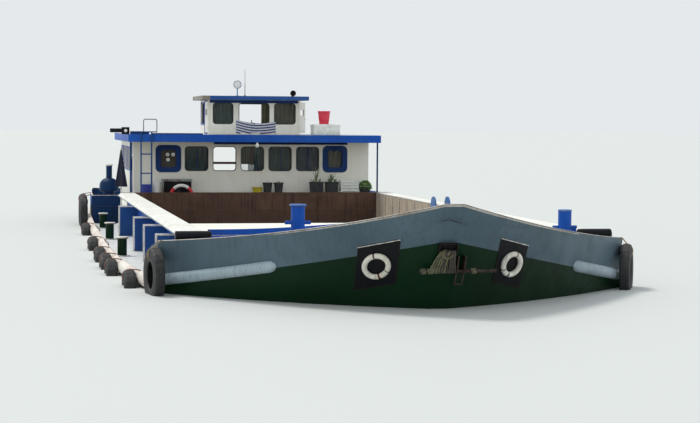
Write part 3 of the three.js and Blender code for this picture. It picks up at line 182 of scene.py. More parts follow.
def sharp_edges(tree, width_mm):
    """1 on outer edges, where hands, ropes and other hulls rub, falling to 0 within that width."""
    rounded = node(tree, "Bevel", {"Radius": width_mm / 1000}, samples=4)
    true = node(tree, "NewGeometry", {}, "Normal")
    same = node(tree, "VectorMath", {0: rounded, 1: true}, "Value", operation="DOT_PRODUCT")
    return node(tree, "MapRange", {0: same, 1: 0.995, 2: 0.86})


def facing(tree, axis):
    """1 where the surface looks along the axis, as a deck looks up, within 37 degrees."""
    true = node(tree, "NewGeometry", {}, "Normal")
    turn = node(tree, "VectorTransform", {0: true}, vector_type="NORMAL",
                convert_from="WORLD", convert_to="OBJECT")
    dot = node(tree, "VectorMath", {0: turn, 1: axis}, "Value", operation="DOT_PRODUCT")
    return node(tree, "Math", {0: dot, 1: 0.8}, operation="GREATER_THAN", use_clamp=True)


def relief(tree, *layers):
    """Bump from pairs of a height between 0 and 1 and its depth in millimetres."""
    under = {}
    for height, depth_mm in layers:
        under = {"Normal": node(tree, "Bump", {"Height": height, "Distance": depth_mm / 1000, **under})}
    return under["Normal"]


print("a rust blister of 34 mm is noise of scale", round(per_mm(34), 1))

# %% [markdown]
# Most of the barge is mild steel plate under alkyd enamel, put on with a brush over red lead and
# years of older coats. To the eye that is a slightly glossy colour that fades in clouds, runs of
# rust and dirt down from every edge, bare or rusty edges where ropes rub, and small blisters.
# One function paints all the enamels, because they differ only in colour and in how worn they
# are. The clouds are about a metre across, the runs a few centimetres wide, the brush marks 6 mm.

# %% Boat enamel on steel
RUST_DARK, RUST_LIGHT = linear("#3a2219"), linear("#7c4a2c")
ENAMEL_IOR, ENAMEL_ROUGHNESS, RUST_ROUGHNESS = 1.5, 0.38, 0.88
CHALKED = 0.14


def boat_enamel(name, colours, wear, zones=()):
    """Colours are fresh, faded and run; wear says how rusty, how streaked and how chipped it is.
    Zones are pairs of a mask builder and the colour of the parts that it finds."""
    material, tree, where = begin(name)
    paint, faded, run = (linear(colour) for colour in colours)
    rust, runs, chips = wear
    down = clouds(tree, where, 60, 0.5, 0.78, 5, (1, 1, 0.07))
    grime = clouds(tree, where, 380, 0.46, 0.8, 8)
    base = coated(tree, paint, (clouds(tree, where, 1100, 0.35, 0.7), 1, faded),
                  *((mask(tree, where), 1, linear(colour)) for mask, colour in zones),
                  (down, runs, run), (grime, runs * 0.55, run))
    blisters = clouds(tree, where, 34, 0.74 - 0.1 * rust, 0.8 - 0.1 * rust, 6)
    blotches = clouds(tree, where, 520, 0.62 - 0.16 * rust, 0.74, 10)
    patches = node(tree, "Math", {0: blisters, 1: blotches}, **TIMES)
    rubbed = node(tree, "Math", {0: sharp_edges(tree, 22), 1: clouds(tree, where, 90, 0.36, 0.6, 6)}, **TIMES)
    chipped = node(tree, "Math", {0: rubbed, 1: chips}, **TIMES)
    specks = node(tree, "Math", {0: clouds(tree, where, 16, 0.72, 0.78), 1: rust * 0.6}, **TIMES)
    eaten = node(tree, "Math", {0: patches, 1: chipped}, **HIGHER)
    eaten = node(tree, "Math", {0: eaten, 1: specks}, **HIGHER)
    corroded = coated(tree, RUST_DARK, (clouds(tree, where, 24, 0.35, 0.65), 1, RUST_LIGHT))
    filmed = node(tree, "Math", {0: grime, 1: 0.5}, **TIMES)
    dull = node(tree, "Math", {0: eaten, 1: filmed}, **ADDED)
    coat = node(tree, "Math", {0: 1.0, 1: eaten}, operation="SUBTRACT", use_clamp=True)
    return shaded(material, {
        "Base Color": coated(tree, base, (eaten, 1, corroded)),
        "Roughness": node(tree, "MapRange", {0: dull, 3: ENAMEL_ROUGHNESS, 4: RUST_ROUGHNESS}),
        "IOR": ENAMEL_IOR, "Specular IOR Level": CHALKED,
        "Normal": relief(tree, (clouds(tree, where, 6, 0.2, 0.8, 2, (1, 1, 0.2)), 0.35),
                         (clouds(tree, where, 420, 0.0, 1.0, 2), 9), (coat, 0.9))})


print("roughness runs from", ENAMEL_ROUGHNESS, "on enamel to", RUST_ROUGHNESS, "on rust")

# %% Masks for pieces painted in several colours
def is_deck(tree, where):
    return facing(tree, (0, 0, 1))


def looks_ahead(tree, where):
    return facing(tree, (1, 0, 0))


def near_plane(tree, where, axis, middle, reach):
    """1 where a coordinate lies within reach of the middle."""
    value = node(tree, "SeparateXYZ", {0: where}, axis)
    return node(tree, "Math", {0: value, 1: middle, 2: reach}, operation="COMPARE")


HOLD_INSIDE = 3.5305


def within_hold(tree, where):
    """The inner faces of the hull's side boxes and coamings."""
    return near_plane(tree, where, "Y", 0.0, HOLD_INSIDE)


def hold_end(tree, where):
    return node(tree, "Math", {0: within_hold(tree, where), 1: looks_ahead(tree, where)}, **TIMES)


def bare_tip(tree, where):
    """The last 0.24 m of the wheelhouse's eave to starboard has lost its blue."""
    return near_plane(tree, where, "Y", -1.6, 0.37)


def lined(x, y):
    """Indoors: a mask for what lies further in than the skin of a cabin's walls."""
    def mask(tree, where):
        ends = [near_plane(tree, where, axis, sum(span) / 2, (span[1] - span[0]) / 2)
                for axis, span in (("X", x), ("Y", y))]
        return node(tree, "Math", dict(enumerate(ends)), **TIMES)
    return mask


print("inside, the hold is", round(2 * HOLD_INSIDE, 2), "m wide")

# %% [markdown]
# The names of the boat's enamels say the piece or the colour; the hex values come from what the eye
# reads on the real boat once the shade is allowed for: forest green to the knuckle, a blue grey
# above it, bright blue for fittings and fascias, cream for the house, white on every edge that a
# crew wants to see at night. Some frame pieces are one solid but painted in two or three colours,
# so their material changes colour by the way the surface faces, not by where the viewer stands.
# Three blues are painted shade instead: the darker blue on the forward faces of the stern block and
# the poop, the vent's blue and the bracket faces' blue are the fittings' blue darkened where they
# stand in shade.

# %% Enamels
FOREST = ("#05240f", "#082d17", "#16241a")
BRIGHT = ("#154cae", "#225cb8", "#1f3a66")
PALE = ("#f3f2e8", "#eceade", "#c2baa6")
# PAINTED_SHADE_BLUE is the fittings' blue darkened for faces that stand in shade: painted shade.
DECK_WHITE, PAINTED_SHADE_BLUE, HOLD_BROWN, LINING = "#e6e8e4", "#0f3058", "#5b463c", "#4f3b2c"

GREEN = boat_enamel("forest_green_enamel", FOREST, (0.12, 0.35, 0.35))
GREEN_HULL = boat_enamel("hull_side_enamel", FOREST, (0.2, 0.5, 0.5),
                         ((is_deck, DECK_WHITE), (within_hold, HOLD_BROWN)))
# On the stern block the forward faces are blue paint, darkened here as painted shade.
GREEN_STERN = boat_enamel("hull_stern_enamel", FOREST, (0.2, 0.5, 0.5),
                          ((is_deck, DECK_WHITE), (looks_ahead, PAINTED_SHADE_BLUE), (hold_end, HOLD_BROWN)))
GREY = boat_enamel("bulwark_grey_enamel", ("#4d5f6a", "#586b76", "#3d4a50"), (0.1, 0.4, 0.5))
PALE_GREY = boat_enamel("bolster_grey_enamel", ("#97a7af", "#abbac2", "#66747a"), (0.16, 0.7, 0.8))
BLUE = boat_enamel("bright_blue_enamel", BRIGHT, (0.2, 0.35, 0.7))
BLUE_COAMING = boat_enamel("coaming_blue_enamel", BRIGHT, (0.35, 0.5, 0.8), ((within_hold, "#d6c9b4"),))
DARK_BLUE = boat_enamel("shade_blue_enamel", ("#113670", "#173f76", "#172a4a"), (0.2, 0.4, 0.6))
CREAM = boat_enamel("cream_enamel", PALE, (0.03, 0.15, 0.3))
HOUSE_CREAM = boat_enamel("house_enamel", PALE, (0.05, 0.18, 0.3),
                          ((lined((-13.57, -8.33), (-3.47, 3.47)), LINING),))
WHEELHOUSE_CREAM = boat_enamel("wheelhouse_enamel", PALE, (0.04, 0.15, 0.3),
                               ((lined((-10.87, -8.93), (-1.22, 1.48)), LINING),))
CEILING = boat_enamel("ceiling_enamel", ("#8a8270", "#7b735f", "#5c5344"), (0.02, 0.1, 0.2))
TRUNK = boat_enamel("trunk_enamel", ("#f6f5ee", "#ecebe0", "#bdb4a0"), (0.12, 0.3, 0.5),
                    ((looks_ahead, "#1a58c8"),))
WHITE = boat_enamel("white_enamel", ("#f0f0ea", "#e2e2da", "#a79a86"), (0.3, 0.45, 0.9))
STRAKE_PAINT = boat_enamel("strake_enamel", ("#ece6dd", "#cfbdb0", "#84705f"), (0.5, 0.4, 0.9))
LID = boat_enamel("bollard_lid_enamel", ("#2a62b8", "#5d86bd", "#8f8d88"), (0.3, 0.4, 0.9))
RIBS = boat_enamel("scoured_rib_coating", ("#d6cbb8", "#bfae97", "#64503f"), (0.4, 0.6, 0.9))
FASCIA_BLUE = boat_enamel("fascia_enamel", ("#1752b4", "#265fba", "#1e3a6c"), (0.1, 0.3, 0.5))
# The bracket faces' blue is the fittings' blue darkened as painted shade; the ladder's pipes share it.
SHADED_BRACKET_BLUE = boat_enamel("bracket_enamel_painted_shade", ("#1c4588", "#2f5890", "#22395e"), (0.2, 0.5, 0.7))
# The vent's blue is the darker blue of painted shade.
VENT_BLUE = boat_enamel("vent_enamel", (PAINTED_SHADE_BLUE, "#153a64", "#15243c"), (0.2, 0.4, 0.6))
# A dark grey for the strip under the bulwark's fold: painted shadow.
FOLD_SHADOW_GREY = boat_enamel("painted_fold_shadow_enamel", ("#20282d", "#2a3236", "#332a24"), (0.5, 0.5, 0.8))
CAP_PAINT = boat_enamel("worn_cap_enamel", ("#cfccc4", "#a8a196", "#6d6154"), (0.7, 0.6, 1.0))
# The poop's forward faces take the darker blue: painted shade.
POOP_BLUE = boat_enamel("poop_enamel", BRIGHT, (0.2, 0.35, 0.7), ((looks_ahead, PAINTED_SHADE_BLUE),))
WHEEL_FASCIA = boat_enamel("wheelhouse_fascia_enamel", ("#25529a", "#3a629c", "#24385c"),
                           (0.1, 0.3, 0.5), ((bare_tip, "#8d877b"),))
LAMP_SHELL = boat_enamel("lamp_enamel", ("#3c6fae", "#5a86b8", "#3a4a60"), (0.1, 0.3, 0.6))
RING_WHITE = boat_enamel("ring_white_enamel", ("#e9e7dc", "#d8d4c4", "#8d8270"), (0.5, 0.5, 1.0))
BLACK = boat_enamel("matt_black_enamel", ("#0c0e13", "#13151b", "#24221f"), (0.1, 0.3, 0.5))
DECK = boat_enamel("deck_enamel", ("#e3e5e1", "#d3d6d1", "#8f897c"), (0.2, 0.4, 0.6))
ROOF_TOP = boat_enamel("roof_enamel", ("#c8ced2", "#b6bcc0", "#85847c"), (0.15, 0.5, 0.5))
HOLD = boat_enamel("hold_brown_coating", (HOLD_BROWN, "#6b5346", "#352723"), (0.8, 0.9, 0.9))
print("enamels:", len(bpy.data.materials))

# %% [markdown]
# Bare metals. The stem bar, chain and pipes are hot dip galvanised or mill steel gone dull, the
# propeller is cast manganese bronze, and the rudder is plate that has lost its paint. A metal
# keeps the shader's own IOR; its look comes from base colour and roughness. Galvanised steel
# shows a spangle of zinc crystals about 12 mm across, and bronze a fine cast grain of 3 mm.

# %% Metals
def weathered_metal(name, colour, tarnish, grain_mm, roughness, rust=0.0):
    material, tree, where = begin(name)
    crystals = node(tree, "TexVoronoi", {"Vector": where, "Scale": per_mm(grain_mm)}, "Color")
    grey = node(tree, "SeparateXYZ", {0: crystals}, "X")
    eaten = clouds(tree, where, 45, 0.66 - rust * 0.3, 0.74 - rust * 0.2, 8)
    glint = node(tree, "Math", {0: grey, 1: 0.2}, **TIMES)
    dull = node(tree, "Math", {0: eaten, 1: glint}, **ADDED)
    return shaded(material, {
        "Base Color": coated(tree, linear(colour), (grey, 0.35, linear(tarnish)),
                             (clouds(tree, where, 160, 0.4, 0.7, 6), 1, linear(tarnish)),
                             (eaten, 1, RUST_DARK)),
        "Metallic": node(tree, "MapRange", {0: eaten, 3: 0.9, 4: 0.1}),
        "Roughness": node(tree, "MapRange", {0: dull, 3: roughness, 4: 0.9}),
        "Normal": relief(tree, (clouds(tree, where, grain_mm * 0.6, 0.3, 0.7), 0.4))})


GALVANISED = weathered_metal("galvanised_steel", "#9a9d9e", "#6d6e6c", 12, 0.42, rust=0.15)
RUST_PATCH = weathered_metal("rusted_clip", "#7a4a2c", "#59321f", 12, 0.7, rust=0.9)
MILL_STEEL = weathered_metal("mill_steel", "#5f5b58", "#3b3431", 20, 0.5, rust=0.7)
BRONZE = weathered_metal("manganese_bronze", "#b08d4e", "#6f6a45", 3, 0.35)
print("metals ready")

# %% [markdown]
# Fenders are old lorry and car tyres: vulcanised rubber with carbon black, gone grey with dust
# and dried river mud. Rubber has no metal in it and little gloss, so roughness stays near 0.85;
# mud lies over it in clouds. The eye sees it first as a warm grey veil.

# %% Rubber
def tyre_rubber(name, body, mud):
    material, tree, where = begin(name)
    veil = node(tree, "Math", {0: clouds(tree, where, 140, 0.42, 0.75, 8), 1: 0.75}, **TIMES)
    scuffed = node(tree, "Math", {0: sharp_edges(tree, 8), 1: clouds(tree, where, 30, 0.4, 0.6)}, **TIMES)
    return shaded(material, {
        "Base Color": coated(tree, linear(body), (veil, 1, linear(mud)), (scuffed, 1, linear("#5a5a58"))),
        "Roughness": node(tree, "MapRange", {0: veil, 3: 0.62, 4: 0.95}), "IOR": 1.52,
        "Normal": relief(tree, (clouds(tree, where, 5, 0.3, 0.7), 0.5))})


RUBBER = tyre_rubber("vulcanised_rubber", "#0e0f12", "#26282b")
DUSTY_RUBBER = tyre_rubber("dusty_rubber", "#17181b", "#4a4744")
SEAL = tyre_rubber("window_seal_rubber", "#141517", "#33322f")
print("rubbers ready")

# %% [markdown]
# Window panes are float glass 4 mm thick. A real pane hardly darkens what is behind it; what the
# eye sees is the dark room and a reflection of the sky, with a film of dust. Transmission with an
# IOR of 1.52 gives that, and a faint dust pattern in the roughness keeps it from looking new.

# %% Glass
pane, tree, where = begin("float_glass")
dust = clouds(tree, where, 220, 0.4, 0.8, 8)
PANE = shaded(pane, {
    "Base Color": coated(tree, linear("#dfe8e6"), (dust, 1, linear("#a9b0ac"))),
    "Roughness": node(tree, "MapRange", {0: dust, 3: 0.02, 4: 0.22}),
    "Transmission Weight": 1.0, "IOR": 1.52, "Alpha": 0.32})
print("glass ready")

# %% [markdown]
# Rope is polypropylene or nylon, three strands laid up, bleached by the sun. Its strands are real
# geometry, so the material only has to give fibres, about 2 mm apart here so that they show, the
# colour change between new and old fibre, and a soft sheen.

# %% Fibres of rope
def laid_rope(name, colour, worn):
    material, tree, where = begin(name)
    fibres = clouds(tree, where, 2, 0.3, 0.7, 2, (1, 1, 0.3))
    old = clouds(tree, where, 70, 0.4, 0.7)
    return shaded(material, {
        "Base Color": coated(tree, linear(colour), (old, 1, linear(worn)), (fibres, 0.5, linear(worn))),
        "Roughness": node(tree, "MapRange", {0: old, 3: 0.65, 4: 0.9}),
        "Sheen Weight": 0.25, "Normal": relief(tree, (fibres, 0.6))})


ROPE = laid_rope("polypropylene_rope", "#b9a98c", "#8b7a62")
WEEDY_ROPE = laid_rope("weedy_rope", "#77764f", "#4f4f3c")
BROWN_ROPE = laid_rope("tarred_rope", "#54483f", "#3a332e")
RED_ROPE = laid_rope("faded_red_rope", "#9c7468", "#7b5a50")
print("ropes ready")

# %% [markdown]
# Planks and plywood wear their paint off along the grain, here 5 mm wide across the boat. Plastics
# are moulded polyethylene: waxy, chalked by the sun, with dirt in their fine texture. A leaf has a
# waxy skin that is lighter where it is young.

# %% Timber, plastics and leaves
def painted_timber(name, paint, wood):
    material, tree, where = begin(name)
    grain = clouds(tree, where, 5, 0.35, 0.65, stretch=(1, 0.06, 1))
    bare = clouds(tree, where, 130, 0.45, 0.62, 8)
    timber = coated(tree, linear(wood), (grain, 1, linear("#4b3526")))
    return shaded(material, {
        "Base Color": coated(tree, linear(paint), (bare, 1, timber)),
        "Roughness": node(tree, "MapRange", {0: bare, 3: 0.5, 4: 0.85}),
        "IOR": 1.5, "Normal": relief(tree, (grain, 0.5))})


def moulded_plastic(name, colour, faded, roughness=0.4, grime=0.4, translucent=0.0):
    material, tree, where = begin(name)
    chalk = clouds(tree, where, 180, 0.4, 0.75, 6)
    dirt = clouds(tree, where, 60, 0.52, 0.78, 8, (1, 1, 0.3))
    return shaded(material, {
        "Base Color": coated(tree, linear(colour), (chalk, 1, linear(faded)),
                             (dirt, grime, linear("#6b6458"))),
        "Roughness": node(tree, "MapRange", {0: chalk, 3: roughness, 4: roughness + 0.25}),
        "IOR": 1.51, "Subsurface Weight": translucent,
        "Normal": relief(tree, (clouds(tree, where, 3, 0.3, 0.7), 0.15))})


def waxy_leaf(name, colour, young):
    material, tree, where = begin(name)
    patch = clouds(tree, where, 60, 0.35, 0.7)
    return shaded(material, {
        "Base Color": coated(tree, linear(colour), (patch, 1, linear(young))),
        "Roughness": node(tree, "MapRange", {0: patch, 3: 0.38, 4: 0.6}),
        "Normal": relief(tree, (clouds(tree, where, 4, 0.3, 0.7, stretch=(1, 1, 0.2)), 0.4))})


print("makers of timber, plastic and leaf ready")

# %% Finishes of the small things
TIMBER = painted_timber("painted_timber", "#8f9a9a", "#8a6a4a")
BOARD_TIMBER = painted_timber("brown_plywood", "#3d3a34", "#4b4031")
HELM_TIMBER = painted_timber("varnished_timber", "#8a5a34", "#9a6b40")
EARTH = painted_timber("potting_soil", "#33281f", "#241b15")
SOIL_BOX = moulded_plastic("planter_plastic", "#22252a", "#3a3c3e", 0.55)
WHITE_PLASTIC = moulded_plastic("white_polyethylene", "#eceeea", "#d4d6d0", 0.42, 0.35, 0.05)
RED_PLASTIC = moulded_plastic("red_polyethylene", "#d8203f", "#dd4a5e", 0.35, 0.15, 0.05)
BLUE_PLASTIC = moulded_plastic("blue_polyethylene", "#1f2f9c", "#3344a0", 0.4, 0.3)
YELLOW_PLASTIC = moulded_plastic("yellow_polyethylene", "#c8b21e", "#c9bb52", 0.35, 0.25)
RING_ORANGE = moulded_plastic("red_band_plastic", "#c8232f", "#cc5450", 0.45, 0.3)
LAMP_GLASS = moulded_plastic("opal_lamp_glass", "#f6f6f2", "#e8e8e2", 0.2, 0.1, 0.1)
ALOE = waxy_leaf("aloe_leaf", "#4d6b4a", "#7f9260")
BUSH = waxy_leaf("bush_leaf", "#3f7a2a", "#7aa83c")
print("materials:", len(bpy.data.materials))

# %% [markdown]
# Cloth here is plain woven cotton for the striped sheet, and a coated polyester for the parasol.
# Threads of 0.5 mm are far too fine to show at this distance, so the weave is drawn at 6 mm, just
# coarse enough to break up the surface, and the sheen does the rest. The stripes are woven in,
# 39 mm wide, and follow the cloth's own coordinates, so that they bend with its folds.

# %% Cloth
WEAVE_MM = 6
STRIPE_M = 0.078


def woven(tree, threads):
    """The weave's bump: warp and weft are bands across each other."""
    inputs = {"Vector": threads, "Scale": per_mm(WEAVE_MM) / 6.28}
    bands = [node(tree, "TexWave", inputs, "Fac", bands_direction=way) for way in "XY"]
    return relief(tree, (node(tree, "Math", dict(enumerate(bands)), **TIMES), 0.6))


def striped_cotton(name, ground, stripe):
    material, tree, where = begin(name)
    threads = node(tree, "UVMap", {})
    down = node(tree, "SeparateXYZ", {0: threads}, "Y")
    phase = node(tree, "Math", {0: down, 1: 1 / STRIPE_M}, operation="MULTIPLY")
    part = node(tree, "Math", {0: phase}, operation="FRACT")
    band = node(tree, "MapRange", {0: part, 1: 0.44, 2: 0.5})
    return shaded(material, {
        "Base Color": coated(tree, linear(ground), (clouds(tree, where, 120, 0.4, 0.7), 1, linear("#c3c6cf")),
                             (band, 1, linear(stripe))),
        "Roughness": 0.85, "Sheen Weight": 0.4, "Normal": woven(tree, threads)})


def parasol_polyester(name, colour, faded):
    material, tree, where = begin(name)
    bleached = clouds(tree, where, 260, 0.4, 0.75, 6)
    return shaded(material, {
        "Base Color": coated(tree, linear(colour), (bleached, 1, linear(faded))),
        "Roughness": 0.72, "Sheen Weight": 0.3, "Normal": woven(tree, where)})


STRIPES = striped_cotton("striped_cotton", "#dfe1e6", "#343a6e")
NAVY = parasol_polyester("navy_polyester", "#161b3a", "#262c50")
GREEN_COTTON = parasol_polyester("green_cotton", "#1f3a33", "#2b4a41")
OLIVE_COTTON = parasol_polyester("olive_cotton", "#45432c", "#57553a")
SLATE_COTTON = parasol_polyester("slate_cotton", "#1c2836", "#2a3845")
print("cloth ready")

# %% [markdown]
# Every piece below is a list of points and faces, because that is the plainest way to say where
# steel is. A few makers return such pairs: a box, a body swept along a path, a turned body, a
# skin laid over rows of points. One function then builds the piece's mesh from several of them,
# gives it its finish, rounds its edges as the real fabrication does, and lets it ride on a body.

# %% Makers of points and faces
UP = Vector((0, 0, 1))
SIDES = ((1, "port"), (-1, "starboard"))
AXIS = 0.002


def lerp(a, b, t):
    return a + (b - a) * t


def spread(first, last, count):
    return [lerp(first, last, i / (count - 1)) for i in range(count)]


def between(a, b, steps):
    return [a.lerp(b, i / steps) for i in range(steps + 1)]


def boxed(x, y, z):
    points = [(a, b, c) for a in x for b in y for c in z]
    return points, [(0, 1, 3, 2), (4, 6, 7, 5), (0, 4, 5, 1), (2, 3, 7, 6), (0, 2, 6, 4), (1, 5, 7, 3)]


def skin(rows, form="sheet"):
    """Quads over rows of points. A tube's rows close on themselves, a rod has ends as well, and a
    ring's last row meets its first."""
    wide, high = len(rows[0]), len(rows)
    points = [tuple(p) for row in rows for p in row]
    faces = []
    for i in range(high if form == "ring" else high - 1):
        for k in range(wide - 1 if form == "sheet" else wide):
            a, b = i * wide + k, i * wide + (k + 1) % wide
            c, d = ((i + 1) % high) * wide + (k + 1) % wide, ((i + 1) % high) * wide + k
            faces.append((a, b, c, d))
    if form == "rod":
        faces.append(tuple(range(wide - 1, -1, -1)))
        faces.append(tuple(range((high - 1) * wide, high * wide)))
    return points, faces


print("a box has", len(boxed((0, 1), (0, 1), (0, 1))[1]), "faces")

# %% Bodies along a path and turned bodies
def along(path, closed=False):
    """A frame of side and up vectors at each point of a path, turning as little as it can."""
    path = [Vector(p) for p in path]
    count = len(path)
    if closed:
        ahead_of = [(path[(i + 1) % count] - path[i - 1]).normalized() for i in range(count)]
    else:
        ahead_of = [(path[min(i + 1, count - 1)] - path[max(i - 1, 0)]).normalized() for i in range(count)]
    helper = UP if abs(ahead_of[0].z) < 0.9 else Vector((1, 0, 0))
    side = ahead_of[0].cross(helper).normalized()
    frames = []
    for at, forward in zip(path, ahead_of):
        side = (side - forward * side.dot(forward)).normalized()
        frames.append((at, side, forward.cross(side)))
    return frames


def swept(path, section, closed=False):
    """A section of [side, up] points carried along a path."""
    rows = [[at + side * a + up * b for a, b in section] for at, side, up in along(path, closed)]
    return skin(rows, "ring" if closed else "rod")


def circle(radius, sides=12):
    turns = (k * math.tau / sides for k in range(sides))
    return [(radius * math.cos(t), radius * math.sin(t)) for t in turns]


def pipe(path, radius, sides=12, closed=False):
    return swept(path, circle(radius, sides), closed)


def turned(profile, at, axis="Z", sides=40):
    """A body turned about an axis through the point, from [radius, height] pairs. A profile that
    ends at the axis stops at the radius AXIS, so that its end is a face and not a single point."""
    rows = []
    for r, h in profile:
        ring = []
        for a, b in circle(r, sides):
            local = {"Z": (a, b, h), "X": (h, a, b), "Y": (b, h, a)}[axis]
            ring.append(Vector(local) + Vector(at))
        rows.append(ring)
    return skin(rows, "rod")


def moved(part, matrix):
    points, faces = part
    return [tuple(matrix @ Vector(p)) for p in points], faces


def mirror_y(part):
    points, faces = part
    return [(x, -y, z) for x, y, z in points], [tuple(reversed(f)) for f in faces]


print("a pipe of two points has", len(pipe([(0, 0, 0), (0, 0, 1)], 0.1)[1]), "faces")

# %% [markdown]
# The boat's record sorts its finishes into slots, so that one who reuses the model can give each
# slot another material. The table below gives each finish its slot; a piece works its slot out
# from its finish, unless it names another, and keeps it nowhere.

# %% One function builds a piece
SLOTS = {
    "hull_green": (GREEN, ALOE, BUSH), "bulwark_grey": (GREY, PALE_GREY, FOLD_SHADOW_GREY),
    "blue_paint": (BLUE, DARK_BLUE, SHADED_BRACKET_BLUE, FASCIA_BLUE, WHEEL_FASCIA, VENT_BLUE, LAMP_SHELL, LID,
                   BLUE_PLASTIC), "cream_paint": (CREAM, CEILING),
    "white_paint": (WHITE, DECK, CAP_PAINT, RING_WHITE, STRAKE_PAINT, ROOF_TOP),
    "black_paint": (BLACK, SEAL, SOIL_BOX), "rusty_steel": (HOLD, RIBS, RUST_PATCH),
    "bare_steel": (GALVANISED, MILL_STEEL), "tyre_rubber": (RUBBER, DUSTY_RUBBER, WEEDY_ROPE, BROWN_ROPE),
    "white_plastic": (WHITE_PLASTIC, ROPE, RED_ROPE), "window_glass": (LAMP_GLASS,),
    "red_plastic": (RED_PLASTIC, RING_ORANGE, YELLOW_PLASTIC), "striped_cloth": (STRIPES,),
    "painted_wood": (TIMBER, BOARD_TIMBER, EARTH),
    "navy_cloth": (NAVY, GREEN_COTTON, OLIVE_COTTON, SLATE_COTTON)}
SLOT_OF = {finish: slot for slot, finishes in SLOTS.items() for finish in finishes}
EDGE_ANGLE = math.radians(35)
PIECES = []


def piece(name, parts, finish, body="hull", edge=0.0, sharp=EDGE_ANGLE, slot=None, replaces=None):
    """parts are pairs of points and faces; edges turned more than the sharp angle stay crisp."""
    mesh = bpy.data.meshes.new(name)
    points, faces = [], []
    for part_points, part_faces in parts:
        start = len(points)
        points += [tuple(p) for p in part_points]
        faces += [tuple(start + i for i in face) for face in part_faces]
    mesh.from_pydata(points, [], faces)
    mesh.materials.append(finish)
    made = bpy.data.objects.new(name, mesh)
    bpy.context.scene.collection.objects.link(made)
    work = bmesh.new()
    work.from_mesh(mesh)
    bmesh.ops.recalc_face_normals(work, faces=work.faces)
    work.to_mesh(mesh)
    work.free()
    mesh.shade_smooth()
    mesh.set_sharp_from_angle(angle=sharp)
    if edge:
        round_edges(made, edge)
    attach(made, body)
    slot or SLOT_OF[finish]
    if replaces:
        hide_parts(replaces)
    PIECES.append(made)
    return made


def round_edges(thing, width):
    """Plate edges are ground and painted round: a small bevel catches the light as they do."""
    bevel = thing.modifiers.new("round_edges", "BEVEL")
    bevel.width = width
    bevel.segments = 2
    bevel.limit_method = "ANGLE"
    bevel.angle_limit = EDGE_ANGLE


print("finishes with a slot:", len(SLOT_OF))

# %% [markdown]
# The lines of the bow are what make this boat: four curves from keel to sheer, each running from
# the shoulder to a flat nose. The frame's bow is made of flat facets between a few stations; the
# plating here follows the same curves at many more stations, so that it bends smoothly, and it
# gets the slight hollows that welding pulls between frames, 5 mm deep every 550 mm.

# %% Lines of the bow
WATER_Z = 1.95
SIDE_DECK_Z = 2.05
NOSE_HALF = 0.17
SHOULDER_X = 10.755
BOW = {
    "keel": Sizes(nose=11.6, shoulder=9.3, half=4.2),
    "water": Sizes(nose=13.95, shoulder=10.79, half=4.33),
    "knuckle": Sizes(nose=14.58, shoulder=10.8, half=4.37),
    "sheer": Sizes(nose=15.0, shoulder=10.76, half=4.43),
}
SIDE_HALVES = [(-15.0, 4.4), (-12.6, 4.54), (-10.5, 4.62), (-9.2, 4.65), (-7.3, 4.7), (-4.3, 4.77),
               (2.4, 4.85), (6.5, 4.8), (7.7, 4.74), (9.1, 4.64), (10.3, 4.48), (10.755, 4.39)]
BOW_STEPS = 64
NOSE_STEPS = 16


def half_breadth(x):
    """Half the hull's width at the side deck."""
    for (x0, h0), (x1, h1) in zip(SIDE_HALVES, SIDE_HALVES[1:]):
        if x <= x1:
            return lerp(h0, h1, max(0.0, (x - x0) / (x1 - x0)))
    return SIDE_HALVES[-1][1]


def bow_point(line, u):
    """u is 1 at the shoulder and 0 at the nose; the answer is x and the half breadth."""
    row = BOW[line]
    return row.nose - (row.nose - row.shoulder) * (0.6 * u + 0.4 * u * u), lerp(NOSE_HALF, row.half, u)


def knuckle_z(u):
    return 3.1 - 0.93 * u


def sheer_z(u):
    return 3.75 - 0.85 * (1.4 * u - 0.4 * u * u)


def bow_station(u, side):
    """Keel, water, knuckle and sheer points of one station, and the way out in plan."""
    station = {}
    for line, z in (("keel", 0), ("water", WATER_Z), ("knuckle", knuckle_z(u)), ("sheer", sheer_z(u))):
        x, y = bow_point(line, u)
        station[line] = Vector((x, side * y, z))
    ahead_x, ahead_y = bow_point("sheer", u - 0.01)
    out = Vector((y - ahead_y, ahead_x - x, 0)).normalized()
    station["out"] = Vector((out.x, side * out.y, 0))
    return station


def all_bow_stations():
    """From the port shoulder round the nose to the starboard shoulder."""
    us = spread(1, 0, BOW_STEPS)
    port = [bow_station(u, 1) for u in us]
    starboard = [bow_station(u, -1) for u in reversed(us)]
    nose = []
    for i in range(1, NOSE_STEPS):
        row = {key: port[-1][key].lerp(starboard[0][key], i / NOSE_STEPS) for key in port[-1]}
        row["out"] = Vector((1, 0, 0))
        nose.append(row)
    return port + nose + starboard


STATIONS = all_bow_stations()
print("bow stations:", len(STATIONS))

# %% [markdown]
# The bow below the knuckle. A shell of 8 mm plate is enough for the eye, but a closed body is
# kinder to an exported mesh, so the plating is one skin from keel to knuckle, the foredeck is
# laid across between the two knuckles, and the bulkhead towards the hold closes it behind.

# %% Bow plating and foredeck
SKIN_STEPS = 12
LOWER_STEPS = 5
HOLD_FRONT = 7.7003
FRAME_SPACING = 0.55


def plate_hollows(p, share, depth=0.005):
    """Hollows between frames and dents from quays, as a distance along the way out. They die out
    at both edges of the plate, where its share of the height is 0 or 1."""
    frames = 0.5 - 0.5 * math.cos(math.tau * p.y / FRAME_SPACING)
    knocks = noise.noise(p * 0.8) * 0.012 + noise.noise(p * 2.3) * 0.005
    return (knocks - depth * frames) * min(1.0, 6 * min(share, 1 - share))


def bow_column(station):
    under = between(station["keel"], station["water"], LOWER_STEPS)[:-1]
    above = between(station["water"], station["knuckle"], SKIN_STEPS)
    return under + [p + station["out"] * plate_hollows(p, i / SKIN_STEPS) for i, p in enumerate(above)]


